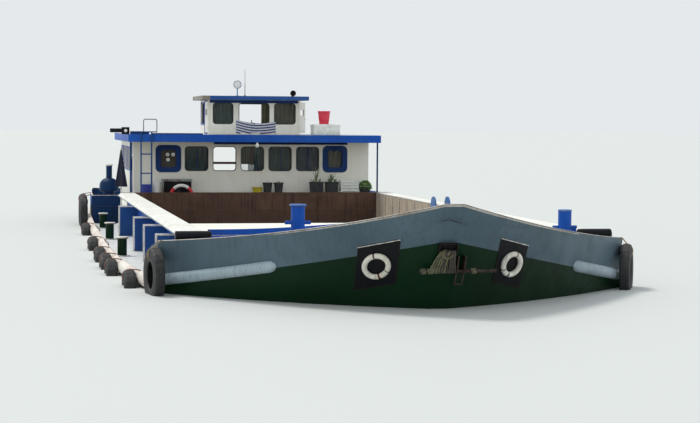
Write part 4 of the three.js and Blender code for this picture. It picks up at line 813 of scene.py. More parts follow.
def side_column(x, side):
    half = half_breadth(x)
    keel_x = min(x, 9.3 - (SHOULDER_X - x) * 0.2)
    keel, turn = Vector((keel_x, side * (half - 0.18), 0)), Vector((x, side * half, 1.8))
    top = Vector((x, side * half, SIDE_DECK_Z))
    return between(keel, turn, LOWER_STEPS)[:-1] + between(turn, top, SKIN_STEPS)


side_xs = spread(HOLD_FRONT, SHOULDER_X, 14)
columns = [side_column(x, 1) for x in side_xs]
columns += [bow_column(station) for station in STATIONS]
columns += [side_column(x, -1) for x in reversed(side_xs)]
pairs = list(zip(columns[:len(columns) // 2 + 1], reversed(columns)))

plating = piece("bow_plating", [skin(columns)], GREEN, replaces="hull_bow")
piece("foredeck", [skin([between(port[-1], starboard[-1], 10) for port, starboard in pairs])], DECK)
piece("hold_front_bulkhead", [skin([between(p, q, 10) for p, q in zip(columns[0], columns[-1])])], HOLD)
piece("bow_bottom", [skin([between(port[0], starboard[0], 4) for port, starboard in pairs])], GREEN)
print("bow plating faces:", len(plating.data.polygons))

# %% [markdown]
# The bulwark is a plate fence on the bow, 6 mm thick but drawn at 14 mm so that its edge shows,
# stiffened inside by flat bars and capped by a pipe that the ropes have rubbed to bare metal. One
# fold sits under the middle of the sheer, where the boat has met a quay: below a bent line the
# plate is pushed in 55 mm. By the port shoulder the heat of welds has drawn it into ripples.

# %% Shape of the bulwark
BULWARK_STEPS = 27
PLATE = 0.014
AFT_RETURN_X = 10.32
AFT_RETURN_TOP = 2.78
RIPPLES_FROM_Y = 3.2
FOLD = Sizes(peak_y=-0.05, peak_z=3.545, slope=0.42, round=0.035, middle=0.02, reach=0.34, depth=0.055)
DENTS = [(-0.1, 3.58, 0.5, 0.1, -0.012), (1.35, 3.3, 0.35, 0.05, 0.014), (-1.9, 3.05, 0.5, 0.12, 0.014)]


def fold_z(y):
    """Height of the fold's line across the plate, a rounded peak."""
    return FOLD.peak_z - math.hypot(FOLD.slope * (y - FOLD.peak_y), FOLD.round)


def knocked(p):
    """How far quays have pushed the plate in at this point: soft dents and one fold."""
    total = 0.0
    for y, z, half_wide, half_high, depth in DENTS:
        a, b = (p.y - y) / half_wide, (p.z - z) / half_high
        total += depth * math.exp(-(a * a + b * b))
    spread_out = 1 - ((p.y - FOLD.middle) / FOLD.reach) ** 2
    if spread_out > 0:
        below = fold_z(p.y) - p.z
        total += FOLD.depth * spread_out / (1 + math.exp(-below / 0.007)) * math.exp(-max(0.0, below) / 0.13)
    if p.y > RIPPLES_FROM_Y:
        total += 0.006 * math.sin(p.y * 46 + p.z * 3) * min(1.0, (p.y - RIPPLES_FROM_Y) * 3)
    return total


def bulwark_column(foot, head, out):
    line = between(foot, head, BULWARK_STEPS)
    return [p + out * (plate_hollows(p, i / BULWARK_STEPS, 0.003) - knocked(p)) for i, p in enumerate(line)]


def aft_return(side):
    """The low end piece of the bulwark on the side deck, as stations abaft the shoulder."""
    rows = []
    for share in (0.0, 0.5, 1.0):
        x = lerp(AFT_RETURN_X, SHOULDER_X, share)
        y, top = side * half_breadth(x), lerp(AFT_RETURN_TOP, sheer_z(1), share)
        rows.append((Vector((x, y, SIDE_DECK_Z)), Vector((x, y + side * 0.03, top)),
                     Vector((0.1, side, 0)).normalized()))
    return rows


BULWARK_LINES = aft_return(1)
BULWARK_LINES += [(s["knuckle"], s["sheer"], s["out"]) for s in STATIONS]
BULWARK_LINES += list(reversed(aft_return(-1)))
outer_face = [bulwark_column(*line) for line in BULWARK_LINES]
inner_face = [[p - line[2] * PLATE for p in column] for column, line in zip(outer_face, BULWARK_LINES)]
print("bulwark stations:", len(BULWARK_LINES))

# %% Bulwark plating, cap and stiffeners
CAP_RADIUS = 0.026
wrap = [outer + list(reversed(inner)) for outer, inner in zip(outer_face, inner_face)]
piece("bulwark_plating", [skin(wrap, "rod")], GREY, sharp=math.radians(50), replaces="bow_bulwark")
cap_path = [column[-1] - line[2] * 0.03 - UP * 0.014 for column, line in zip(outer_face, BULWARK_LINES)]
piece("bulwark_cap", [pipe(cap_path, CAP_RADIUS, 10)], CAP_PAINT)

stiffeners = []
for column, (foot, head, out) in list(zip(inner_face, BULWARK_LINES))[4:-4:4]:
    if abs(foot.y) < 0.25:
        continue
    across = Vector((-out.y, out.x, 0)) * 0.005
    rows = []
    for k in range(0, BULWARK_STEPS, 2):
        root = column[k] + out * 0.004
        inner = out * lerp(0.16, 0.05, k / BULWARK_STEPS)
        rows.append([root - across, root - across - inner, root + across - inner, root + across])
    stiffeners.append(skin(rows, "rod"))
piece("bulwark_stiffeners", stiffeners, DARK_BLUE)
print("bulwark stiffeners:", len(stiffeners))

# %% [markdown]
# Under the fold the bent plate stands in shade, which the eye reads as a dark bent line. A thin
# dark strip laid on the plate's dented face paints that shadow, thickest in the middle and a
# little uneven.

# %% Painted shadow along the fold
def nose_face(y, z):
    """x of the bulwark's outer face near the middle, with its dents."""
    u = max(0.0, abs(y) - NOSE_HALF) / (BOW["knuckle"].half - NOSE_HALF)
    station = bow_station(u, 1 if y > 0 else -1)
    share = (z - station["knuckle"].z) / (station["sheer"].z - station["knuckle"].z)
    p = station["knuckle"].lerp(station["sheer"], share)
    return p.x + plate_hollows(p, 0.5, 0.003) - knocked(Vector((p.x, y, z)))


# Painted shadow: a thin dark strip just under the fold's line.
shadow_rows = []
for t in spread(0.04, 0.96, 60):
    y = FOLD.middle + FOLD.reach * (2 * t - 1) * 0.82
    z = fold_z(y) - 0.016
    tall = 0.013 * math.sin(math.pi * t) * (1 + 0.4 * noise.noise(Vector((y * 9, 0, 0))))
    x = nose_face(y, z)
    corners = ((0.003, tall), (0.003, -tall), (-0.012, -tall), (-0.012, tall))
    shadow_rows.append([Vector((x + a, y, z + b)) for a, b in corners])
piece("fold_shadow_strip", [skin(shadow_rows, "rod")], FOLD_SHADOW_GREY)
print("the fold is", round(2 * FOLD.reach, 2), "m wide")

# %% [markdown]
# Two bolsters, half pipes 210 mm across, are welded along the knuckle near the shoulders to take
# the rub of other hulls. A half circle carried along the knuckle gives the pipe; shrinking the
# section over the last stretch rounds its ends off as the welder's cap does.

# %% Bolsters
BOLSTER_R = 0.105
BOLSTER_INNER = {1: 0.64, -1: 0.57}
BOLSTER_LIFT = 0.03
END_CAP = 0.16


def bolster(side):
    stops = [bow_station(u, side) for u in spread(1.0, BOLSTER_INNER[side], 60)]
    lengths = [0.0]
    for a, b in zip(stops, stops[1:]):
        lengths.append(lengths[-1] + (b["knuckle"] - a["knuckle"]).length)
    rows = []
    for stop, run in zip(stops, lengths):
        inside = min(run, lengths[-1] - run)
        r = BOLSTER_R * math.sqrt(max(0.03, 1 - max(0.0, 1 - inside / END_CAP) ** 2))
        centre = stop["knuckle"] + UP * BOLSTER_LIFT
        front = [centre + stop["out"] * (0.002 + r * math.cos(angle)) + UP * (r * math.sin(angle))
                 for angle in spread(-math.pi / 2, math.pi / 2, 15)]
        rows.append(front + [centre - stop["out"] * 0.02 + UP * (r * s) for s in (1, -1)])
    return skin(rows, "rod")


piece("bolsters", [bolster(1), bolster(-1)], PALE_GREY)
print("bolsters end at", {side: round(bow_point("knuckle", u)[1], 2) for side, u in BOLSTER_INNER.items()})

# %% [markdown]
# The eyes: a black patch painted over the colours' border on each bow, with a heavy white ring
# on it. The patch's long edges run with the sheer, so it leans like a parallelogram. It follows
# the plating 12 mm proud, because it is a doubler plate; the ring is a closed tube 92 mm thick,
# and short sleeves of bare steel, which rust over the white, hold it on.

# %% Patch under the eye
EYE = Sizes(z=2.69, width=0.72, height=0.88, slope=math.radians(14), proud=0.012, steps=12)


def plating_at(y, z, side):
    """The point of the plating or bulwark at a half breadth and a height."""
    station = bow_station((y - NOSE_HALF) / (BOW["knuckle"].half - NOSE_HALF), side)
    low, high = ("water", "knuckle") if z < station["knuckle"].z else ("knuckle", "sheer")
    share = (z - station[low].z) / (station[high].z - station[low].z)
    return station[low].lerp(station[high], share)


def rim_of(rows):
    """The points round a grid, in order."""
    return rows[0] + [row[-1] for row in rows[1:]] + rows[-1][-2::-1] + [row[0] for row in rows[-2:0:-1]]


def eye_patch(at, across, up, out, side):
    front = []
    for b in spread(-EYE.height / 2, EYE.height / 2, EYE.steps):
        row = []
        for a in spread(-EYE.width / 2, EYE.width / 2, EYE.steps):
            want = at + across * a + up * (b - a * math.tan(EYE.slope))
            row.append(plating_at(abs(want.y), want.z, side) + out * EYE.proud)
        front.append(row)
    back = [[p - out * (EYE.proud + 0.03) for p in row] for row in front]
    line = [p + out * 0.004 - up * 0.004 for p in front[-1]]
    return [skin(front), skin(back), skin([rim_of(front), rim_of(back)], "tube")], pipe(line, 0.008, 6)


print("each patch is", EYE.width, "m wide and", EYE.height, "m high")

# %% Bow eyes
EYE_RING = Sizes(r=0.208, tube=0.046, steps=56)
for side, word, y in ((1, "port", 1.31), (-1, "starboard", 1.05)):
    at = plating_at(y, EYE.z, side)
    up = (plating_at(y, EYE.z + 0.3, side) - plating_at(y, EYE.z - 0.3, side)).normalized()
    across = (plating_at(y + 0.3, EYE.z, side) - plating_at(y - 0.3, EYE.z, side)).normalized()
    out = across.cross(up).normalized() * side
    patch, line = eye_patch(at, across, up, out, side)
    piece("eye_patch_" + word, patch, BLACK, replaces="bow_eye_" + word)
    centre = at + out * (EYE.proud + EYE_RING.tube * 0.62)
    ring = []
    for a, b in circle(1, EYE_RING.steps):
        reach = EYE_RING.r * (1 + 0.015 * noise.noise(Vector((a, b, side)) * 1.7))
        ring.append(centre + (across * a + up * b) * reach)
    piece("eye_ring_" + word, [pipe(ring, EYE_RING.tube, 18, closed=True)], RING_WHITE)
    piece("eye_patch_edge_" + word, [line], WHITE)
    sleeves = []
    for angle, half in ((1.3, 0.06), (4.3, 0.09), (3.5, 0.04)):
        arc = [centre + (across * math.cos(t) + up * math.sin(t)) * EYE_RING.r
               for t in spread(angle - half, angle + half, 6)]
        sleeves.append(pipe(arc, EYE_RING.tube + 0.001, 18))
    piece("eye_ring_clips_" + word, sleeves, RUST_PATCH)
print("eye rings are", round(2 * (EYE_RING.r + EYE_RING.tube), 2), "m across")

# %% [markdown]
# The frame's own solids that stay visible get their finishes here, each named for its material.
# A thin modifier pair, weld and bevel, rounds their edges by a few millimetres without moving
# them, because no plate edge on a boat is knife sharp and a round edge is what catches light.

# %% Finishes of the frame's solids
PAINTED = (
    (GREEN_HULL, 0.006, "hull_wing_port hull_wing_starboard"),
    (GREEN_STERN, 0.006, "hull_stern"),
    (HOLD, 0, "hull_bottom coaming_aft"),
    (BLUE_COAMING, 0.003, "coaming_port coaming_starboard"),
    (WHITE, 0.006, "coaming_cap_port coaming_cap_starboard"),
    (TRUNK, 0.012, "fore_trunk"),
    (BLUE, 0.004, "engine_hatch_port engine_hatch_starboard"),
    (LAMP_SHELL, 0.004, "windlass_frame"),
    (BLACK, 0.004, "hawse_box"),
    (MILL_STEEL, 0.004, "stem_bar windlass_drum rudder"),
    (HOUSE_CREAM, 0.004, "house_front house_port house_starboard house_back"),
    (WHEELHOUSE_CREAM, 0.004, "wheelhouse_port wheelhouse_starboard wheelhouse_back wheelhouse_front"),
    (DARK_BLUE, 0.003, "house_door_port house_door_starboard house_door_back"),
    (WHITE, 0.003, "wheelhouse_door_port wheelhouse_door_starboard"),
    (PANE, 0, "house_glass_front wheelhouse_glass"),
    (POOP_BLUE, 0.004, "poop_bulwark"),
    (BRONZE, 0.003, "propeller"),
    (HELM_TIMBER, 0.003, "helm_stand helm_wheel"),
    (GREEN, 0.006, "engine_block"),
    (TIMBER, 0.004, "deck_table"),
)
for finish, edge, names in PAINTED:
    for name in names.split():
        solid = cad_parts[name]
        solid.data.materials.clear()
        solid.data.materials.append(finish)
        if edge:
            solid.modifiers.new("weld", "WELD").merge_threshold = 0.0002
            round_edges(solid, edge)
print("frame solids dressed:", sum(1 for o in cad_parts.values() if not o.hide_render))

# %% [markdown]
# Rope on this boat is pulled taut between two points or turned tight round a post: it ties down
# the fenders and the stem gear. Three strands twist round a common line, each strand a thin pipe;
# at arm's length one sees the lay of the rope, and that alone tells rope from rod.

# %% Laid rope
STRANDS = 3
STEPS_PER_LAY = 8
LAY_PER_RADIUS = 13


def resampled(path, step, closed=False):
    """The same path with points that stand one step apart."""
    path = [Vector(p) for p in path]
    if closed:
        path.append(path[0])
    out, carried = [path[0]], 0.0
    for a, b in zip(path, path[1:]):
        length = (b - a).length
        run = step - carried
        while run <= length and length > 0:
            out.append(a.lerp(b, run / length))
            run += step
        carried = length - (run - step)
    if closed:
        return out[:-1] if (out[-1] - path[-1]).length < step * 0.5 else out
    return out if (out[-1] - path[-1]).length < step * 0.3 else out + [path[-1]]


def rounded_path(corners, bend):
    """The path with each corner turned as a curve that starts that far from it."""
    corners = [Vector(p) for p in corners]
    out = [corners[0]]
    for before, at, after in zip(corners, corners[1:], corners[2:]):
        a = at + (before - at).normalized() * min(bend, (before - at).length * 0.45)
        b = at + (after - at).normalized() * min(bend, (after - at).length * 0.45)
        out += [a.lerp(at, t).lerp(at.lerp(b, t), t) for t in spread(0, 1, 6)]
    return out + [corners[-1]]


def rope(path, radius, closed=False):
    """Three strands laid round the path."""
    line = resampled(path, radius * LAY_PER_RADIUS / STEPS_PER_LAY, closed)
    lays = len(line) / STEPS_PER_LAY
    turns = round(lays) / lays if closed else 1.0
    parts = []
    for strand in range(STRANDS):
        rows = []
        for i, (at, side, up) in enumerate(along(line, closed)):
            angle = math.tau * (i * turns / STEPS_PER_LAY + strand / STRANDS)
            centre = at + (side * math.cos(angle) + up * math.sin(angle)) * radius * 0.5
            rows.append([centre + side * a + up * b for a, b in circle(radius * 0.52, 6)])
        parts.append(skin(rows, "ring" if closed else "rod"))
    return parts


print("rope ready")

# %% [markdown]
# A tyre is drawn as one closed section that is carried round: beads, side walls that bulge, a
# tread with three grooves, and the hollow inside. Every third step the tread's ribs are cut
# across, and the whole tyre sags a little out of round, as old ones do.

# %% Tyres
TYRE_STEPS = 72
GROOVE_EVERY = 3
GROOVE_DEEP, CUT_DEEP = 0.011, 0.009


def mirrored(half):
    return [(r, -y) for r, y in reversed(half)]


def tyre(radius, width, hole):
    """A hollow tyre about the Y axis."""
    wall, half, lip = radius - hole, width / 2, 0.032 * width
    groove = [(radius, -lip), (radius - GROOVE_DEEP, -lip * 0.7)]
    outer = [(hole + 0.006, -0.36 * width), (hole + 0.04 * wall, -0.41 * width),
             (hole + 0.16 * wall, -0.425 * width), (hole + 0.42 * wall, -half), (hole + 0.6 * wall, -half),
             (hole + 0.63 * wall, -half + 0.004), (hole + 0.7 * wall, -half * 0.985),
             (radius - 0.035 * radius, -0.42 * width), (radius - 0.004, -0.33 * width),
             *((r, y - 0.2 * width) for r, y in groove + mirrored(groove)), *groove]
    inner = [(hole, 0.3 * width), (hole + 0.1 * wall, 0.29 * width), (hole + 0.45 * wall, 0.4 * width),
             (hole + 0.8 * wall, 0.3 * width)]
    section = outer + mirrored(outer) + inner + [(radius - 0.045, 0.0)] + mirrored(inner)
    rows = []
    for k in range(TYRE_STEPS):
        angle = k * math.tau / TYRE_STEPS
        row = []
        for r, y in section:
            cut = r > radius - 0.005 and k % GROOVE_EVERY == 0
            r = (r - CUT_DEEP if cut else r) * (1 - 0.012 * math.cos(2 * angle))
            row.append(Vector((r * math.cos(angle), y, r * math.sin(angle))))
        rows.append(row)
    return skin(rows, "ring")


def placed(part, at, turn=0.0):
    return moved(part, Matrix.Translation(at) @ Matrix.Rotation(turn, 4, "Z"))


print("a tyre has", len(tyre(0.5, 0.21, 0.25)[1]), "faces")

# %% Rope round a tyre
TYRE_ROPE = 0.013


def tyre_bight(tyre_at, radius, hole, width, turn, made_fast):
    """Rope round the top of a tyre's ring, then up and over to where it is made fast."""
    middle, high, wide = (radius + hole) / 2, (radius - hole) / 2 + TYRE_ROPE, width / 2 + TYRE_ROPE
    across = Matrix.Rotation(turn, 3, "Z") @ Vector((0, 1, 0))
    ring = [Vector(tyre_at) + across * (wide * a) + UP * (middle + high * b) for a, b in circle(1, 24)]
    knot = Vector(tyre_at) + UP * (radius + TYRE_ROPE * 1.5)
    return rope(ring, TYRE_ROPE, closed=True) + rope(rounded_path([knot, *made_fast], 0.06), TYRE_ROPE)


print("the ropes of tyres are", round(2000 * TYRE_ROPE), "mm thick")

# %% [markdown]
# A lorry tyre hangs over each shoulder on a rope that is made fast to the bulwark's cap. The
# frame holds it in that place; here it gets its tread, its hollow and the bight of rope that goes
# through the hole and up over the cap. Its rubber is greyer than the others, with dried mud.

# %% Shoulder tyres
SHOULDER_TYRE = {"radius": 0.497, "width": 0.207, "hole": 0.25}
SHOULDER_TYRES = [(1, "port", (10.9302, 4.4563, 2.29), math.radians(-25)),
                  (-1, "starboard", (10.9302, -4.4961, 2.29), math.radians(9))]
TREAD_ANGLE = math.radians(30)
for side, word, at, turn in SHOULDER_TYRES:
    piece("shoulder_tyre_tread_" + word, [placed(tyre(**SHOULDER_TYRE), at, turn)], DUSTY_RUBBER,
          sharp=TREAD_ANGLE, replaces="shoulder_tyre_" + word)
    head = bow_station(0.985, side)["sheer"]
    over_cap, inside = head + Vector((0.02, 0, 0.028)), head + Vector((-0.09, -side * 0.05, -0.1))
    piece("shoulder_tyre_rope_" + word,
          tyre_bight(at, turn=turn, made_fast=[over_cap, inside], **SHOULDER_TYRE), ROPE)
print("shoulder tyres:", len(SHOULDER_TYRES))

# %% [markdown]
# Along each side runs a rubbing strake, a half pipe welded under the deck edge. It was white
# once; now it is chalk, pink primer and rust. Eight old tyres hang outside it, each from a rope
# over the strake to an eye on the deck; the two aftermost are larger and guard the poop.

# %% Makers of the strake and the side tyres
STRAKE = Sizes(low=1.975, high=2.245, out=0.13, aft=-14.8, fore=10.3)
SIDE_TYRES = [(-10.9, 2.28, 0.56, 0.23), (-9.65, 2.24, 0.56, 0.23),
              *((x, 1.79, 0.47, 0.24) for x in (-5.6, 0.0, 3.4, 5.3, 6.8, 9.4))]
POOP_X = -9.2
POOP_RAIL_TOP = 2.87
AFT_DECK_Z = 2.55
TYRE_GAP = 0.003


def strake():
    middle, half = (STRAKE.low + STRAKE.high) / 2, (STRAKE.high - STRAKE.low) / 2
    rows = []
    for x in spread(STRAKE.aft, STRAKE.fore, 130):
        reach = STRAKE.out - 0.012 * max(0.0, noise.noise(Vector((x * 0.9, 0, 0))))
        rows.append([Vector((x, half_breadth(x) + 0.001 + reach * math.cos(t), middle + half * math.sin(t)))
                     for t in spread(-math.pi / 2, math.pi / 2, 13)])
    return skin(rows, "rod")


def side_tyres():
    rubber, ropes, eyes = [], [], []
    for x, z, r, width in SIDE_TYRES:
        half = half_breadth(x)
        y = half + STRAKE.out + width / 2 - 0.012 + TYRE_GAP
        size = {"radius": r - 0.004, "width": width - 0.006, "hole": r * 0.52}
        rubber.append(placed(tyre(**size), (x, y, z)))
        if x < POOP_X:
            over = Vector((x, half + 0.02, POOP_RAIL_TOP + 0.016))
            path = [over, over + Vector((0, -0.08, 0)), Vector((x, half - 0.065, POOP_RAIL_TOP - 0.1))]
        else:
            foot = Vector((x + 0.03, half - 0.13, SIDE_DECK_Z + 0.05))
            path = [Vector((x, half + 0.03, STRAKE.high + 0.014)), foot]
            eyes.append(pipe([foot + Vector((0.05 * math.cos(t), 0, 0.05 * math.sin(t) - 0.05))
                              for t in spread(0, math.pi, 13)], 0.01, 8))
        ropes += tyre_bight((x, y, z), turn=0, made_fast=path, **size)
    return rubber, ropes, eyes


print("the strake is", round(STRAKE.fore - STRAKE.aft, 1), "m long")

# %% Rubbing strake and side tyres
for side, word in SIDES:
    groups = [[strake()], *side_tyres()]
    if side < 0:
        groups = [[mirror_y(part) for part in parts] for parts in groups]
    half_pipe, rubber, ropes, eyes = groups
    piece("rubbing_strake_" + word, half_pipe, STRAKE_PAINT, replaces="fender_rail_" + word)
    piece("side_tyres_" + word, rubber, RUBBER, sharp=TREAD_ANGLE)
    piece("side_tyre_ropes_" + word, ropes, RED_ROPE)
    piece("deck_eyes_" + word, eyes, MILL_STEEL)
print("side tyres:", 2 * len(SIDE_TYRES))

# %% [markdown]
# Bollards. The two big ones on the foredeck are blue pipes with a thick lid and a cross pin that
# keeps the turns from slipping up; the lids are pale where ropes and hands have been. The small
# ones on the side decks are green. A turned profile gives each, with a small radius at each edge.

# %% Bow bollards
POST_R, FOOT_R = 0.122, 0.2


def eased(low, high, lip):
    """Levels of a body with round lower and upper edges, as pairs of how far in and how high."""
    rim = [(lip, 0.0), (lip * 0.3, lip * 0.3), (0.0, lip)]
    return [*((inset, low + rise) for inset, rise in rim),
            *((inset, high - drop) for inset, drop in reversed(rim))]


def rounded_lid(r, low, high):
    """Profile of a disc with rounded rims, from its underside to the middle of its top."""
    return [*((r - inset, z) for inset, z in eased(low, high, 0.012)), (AXIS, high + 0.006)]


def foredeck_z(x):
    """The foredeck rises to the nose with the knuckle, found here by halving the interval."""
    low, high = 0.0, 1.0
    for _ in range(30):
        u = (low + high) / 2
        low, high = (u, high) if bow_point("knuckle", u)[0] > x else (low, u)
    return knuckle_z(u) if x > BOW["knuckle"].shoulder else SIDE_DECK_Z


for word, x, y, top, lid_r in (("starboard", 12.1, -2.08, 3.63, 0.15), ("port", 11.7, 2.96, 3.5, 0.128)):
    low, foot_z = foredeck_z(x) - 0.06, foredeck_z(x + FOOT_R)
    post = turned([(AXIS, low), (POST_R, low), (POST_R, top - 0.04)], (x, y, 0))
    lid = turned([(AXIS, top - 0.04), *rounded_lid(lid_r, top - 0.04, top - 0.006)], (x, y, 0))
    pin_half = [(0.032, 0.224), (0.026, 0.23), (AXIS, 0.23)]
    pin = turned(mirrored(pin_half) + pin_half, (x, y, top - 0.33), axis="Y", sides=20)
    foot = turned([(AXIS, low), (FOOT_R, low), (FOOT_R, foot_z + 0.012), (POST_R, foot_z + 0.02)], (x, y, 0))
    piece("bow_bollard_post_" + word, [post, pin, foot], BLUE, replaces="bow_bollard_" + word)
    piece("bow_bollard_lid_" + word, [lid], LID)
print("foredeck at the starboard bollard:", round(foredeck_z(12.1), 2))

# %% Deck bollards
RIM = [(AXIS, 0.0004), (0.13, 0.0004), (0.136, -0.006), (0.1365, -0.02), (0.139, -0.02), (0.139, 0.002),
       (0.13, 0.008), (AXIS, 0.012)]
DECK_BOLLARD_TOP = SIDE_DECK_Z + 0.42
BOLLARD_XS = (-6.9, -2.3, 3.25)
for side, word in SIDES:
    rims = [turned(RIM, (x, side * (half_breadth(x) - 0.27), DECK_BOLLARD_TOP)) for x in BOLLARD_XS]
    piece("deck_bollard_rims_" + word, rims, WHITE)
print("deck bollards:", 2 * len(BOLLARD_XS))

# %% Shoulder bitts
BITTS = Sizes(x=10.94, y=3.8, half=0.325, z=2.99, post_r=0.062, apart=0.15)
foot_z = foredeck_z(BITTS.x)
roll_half = [(0.1, BITTS.half - 0.012), (0.088, BITTS.half), (AXIS, BITTS.half)]
post = [(AXIS, SIDE_DECK_Z), (BITTS.post_r, SIDE_DECK_Z), (BITTS.post_r, BITTS.z)]
foot = [(AXIS, SIDE_DECK_Z), (0.11, SIDE_DECK_Z), (0.11, foot_z + 0.03), (0.06, foot_z + 0.035)]
for side, word in SIDES:
    y = side * BITTS.y
    parts = [turned(mirrored(roll_half) + roll_half, (BITTS.x, y, BITTS.z), axis="Y")]
    parts += [turned(profile, (BITTS.x, y + s * BITTS.apart, 0), sides=24) for profile in (post, foot)
              for s in (-1, 1)]
    piece("shoulder_bitts_round_" + word, parts, BLACK, replaces="shoulder_bitts_" + word)
print("bitts stand", round(2 * BITTS.apart, 2), "m apart")

# %% [markdown]
# The stem gear: a hawse box in the middle of the bow, a towing bar held by two lugs, and the old
# rope that lashes them. The rope is wound tight from the box's mouth round the bar and back, and
# it is green with weed from lying in the river. Each turn is a taut loop, a little out of true.

# %% One turn of the lashing
def nose_x(z):
    """x of the nose at a height, without dents."""
    water, knuckle, sheer = (BOW[line].nose for line in ("water", "knuckle", "sheer"))
    if z < knuckle_z(0):
        return lerp(water, knuckle, (z - WATER_Z) / (knuckle_z(0) - WATER_Z))
    return lerp(knuckle, sheer, (z - knuckle_z(0)) / (sheer_z(0) - knuckle_z(0)))


TOW_BAR = Sizes(z=2.62, half=0.66, r=0.03, out=0.072)
bar_x = nose_x(TOW_BAR.z) + TOW_BAR.out
chance = random.Random(7)


def lashing_turn(top, low, radius):
    """One turn from the box's mouth down round the bar and back up."""
    away = TOW_BAR.r + 0.012
    head = Vector((nose_x(2.96) + 0.085, top, 2.965 + chance.uniform(-0.012, 0.012)))
    belly = Vector((nose_x(2.8) + 0.075 + chance.uniform(0, 0.03),
                    lerp(top, low, 0.5) + chance.uniform(-0.02, 0.02), 2.79))
    round_bar = [Vector((bar_x + dx, low + dy, TOW_BAR.z + dz))
                 for dx, dy, dz in ((away, 0, 0.01), (0, 0.01, -away), (-away, 0.02, 0.01))]
    back = [belly - Vector((0.04, -0.015, 0)), head + Vector((-0.03, 0.02, 0.01))]
    return rope(rounded_path([head, belly, *round_bar, *back], 0.03), radius)


print("the towing bar is", 2 * TOW_BAR.half, "m long")

# %% Stem lashing
LASH_TURNS = 13
WEEDY_TURNS = (0, 1, 3, 4, 7)
brown, weedy = [], []
for k, low in enumerate(spread(-0.26, 0.16, LASH_TURNS)):
    top = lerp(-0.12, 0.12, k / (LASH_TURNS - 1))
    turn = lashing_turn(top, low + chance.uniform(-0.012, 0.012), 0.013 + 0.004 * (k % 2))
    (weedy if k in WEEDY_TURNS else brown).extend(turn)
bight = [(-0.1, 2.93), (-0.06, 2.86), (0.0, 2.835), (0.05, 2.86), (0.08, 2.9)]
weedy += rope([Vector((nose_x(z) + 0.13, y, z)) for y, z in bight], 0.016)
for y in spread(-0.235, -0.165, 3):
    weedy += rope([Vector((bar_x + 0.055 * math.cos(t), y + 0.012 * math.sin(t * 0.5),
                           TOW_BAR.z + 0.03 + 0.06 * math.sin(t))) for t in spread(0, math.tau, 30)], 0.016)
piece("stem_lashing", weedy, WEEDY_ROPE)
piece("stem_lashing_brown", brown, BROWN_ROPE)
print("turns of the lashing:", LASH_TURNS)

# %% Turns on the towing bar
def coiled(x, z, r, y0, y1, turns, steps):
    """Points of a coil about an axis that runs across the boat."""
    return [Vector((x + r * math.cos(t), lerp(y0, y1, t / (turns * math.tau)), z + r * math.sin(t)))
            for t in spread(0, turns * math.tau, steps)]


wraps = []
for start in (-0.41, -0.3, 0.45):
    wraps += rope(coiled(bar_x, TOW_BAR.z, TOW_BAR.r + 0.011, start, start + 0.08, 4, 80), 0.01)
piece("towing_bar_turns", wraps, WEEDY_ROPE)
print("strands of the three wraps:", len(wraps))

# %% [markdown]
# Above the stem stands a small windlass. Its barrel, its flanges and the two warping heads
# outside the cheeks turn together on one axle, so they are one turned body, drawn for one half
# and mirrored. A few turns of rope are left on the barrel and turn with it.

# %% Windlass
WINDLASS = Sizes(x=14.05, z=3.48, cheek_y=0.105, cheek=0.028, drum_r=0.062, flange_r=0.105, axle_r=0.0268,
                 head_r=0.078, head_out=0.19)
cheek_in, cheek_out = WINDLASS.cheek_y - 0.008, WINDLASS.cheek_y + WINDLASS.cheek + 0.008
tip, waist_r = cheek_out + WINDLASS.head_out, WINDLASS.head_r * 0.84
drum_r, flange_r, axle_r, head_r = WINDLASS.drum_r, WINDLASS.flange_r, WINDLASS.axle_r, WINDLASS.head_r
half_barrel = [(drum_r, 0.0), (drum_r, cheek_in - 0.014), (flange_r, cheek_in - 0.013), (flange_r, cheek_in),
               (axle_r, cheek_in), (axle_r, cheek_out), (head_r, cheek_out + 0.004),
               (waist_r, cheek_out + 0.03), (waist_r, tip - 0.07), (head_r, tip - 0.04), (head_r, tip - 0.03),
               (axle_r, tip - 0.03), (axle_r, tip), (AXIS, tip)]
barrel = turned(mirrored(half_barrel) + half_barrel, (WINDLASS.x, 0, WINDLASS.z), axis="Y", sides=36)
piece("windlass_barrel", [barrel], MILL_STEEL, body="windlass", slot="rusty_steel", replaces="windlass_drum")
piece("windlass_rope", rope(coiled(WINDLASS.x, WINDLASS.z, 0.075, -0.075, 0.075, 6, 160), 0.0115), ROPE,
      body="windlass")
print("the windlass is", round(2 * tip, 2), "m wide")

# %% [markdown]
# The coaming brackets are plates with a flange bent along the top and the outer edge, and the
# flanges are picked out in white. Ribs stand on the inner wall of the hold, which the cargo has
# scoured brown. Across the front edge of the trunk stands a low plate that turns spray aside.

# %% Coaming details
COAMING_HALF = 3.73
HOLD_HALF = 3.53
HOLD_RIBS = 17
TRUNK_FRONT_X = 10.75
BRACKET = Sizes(outer=4.23, top=2.85, half=0.0375, flange_half=0.038, fold=0.036)
BRACKET_XS = (-3.4, 1.9, 4.9, 8.0)
SKIN_OUT = 0.003


def sideways(side, y0, y1):
    """The span between two half breadths on one side of the boat."""
    return sorted((side * y0, side * y1))


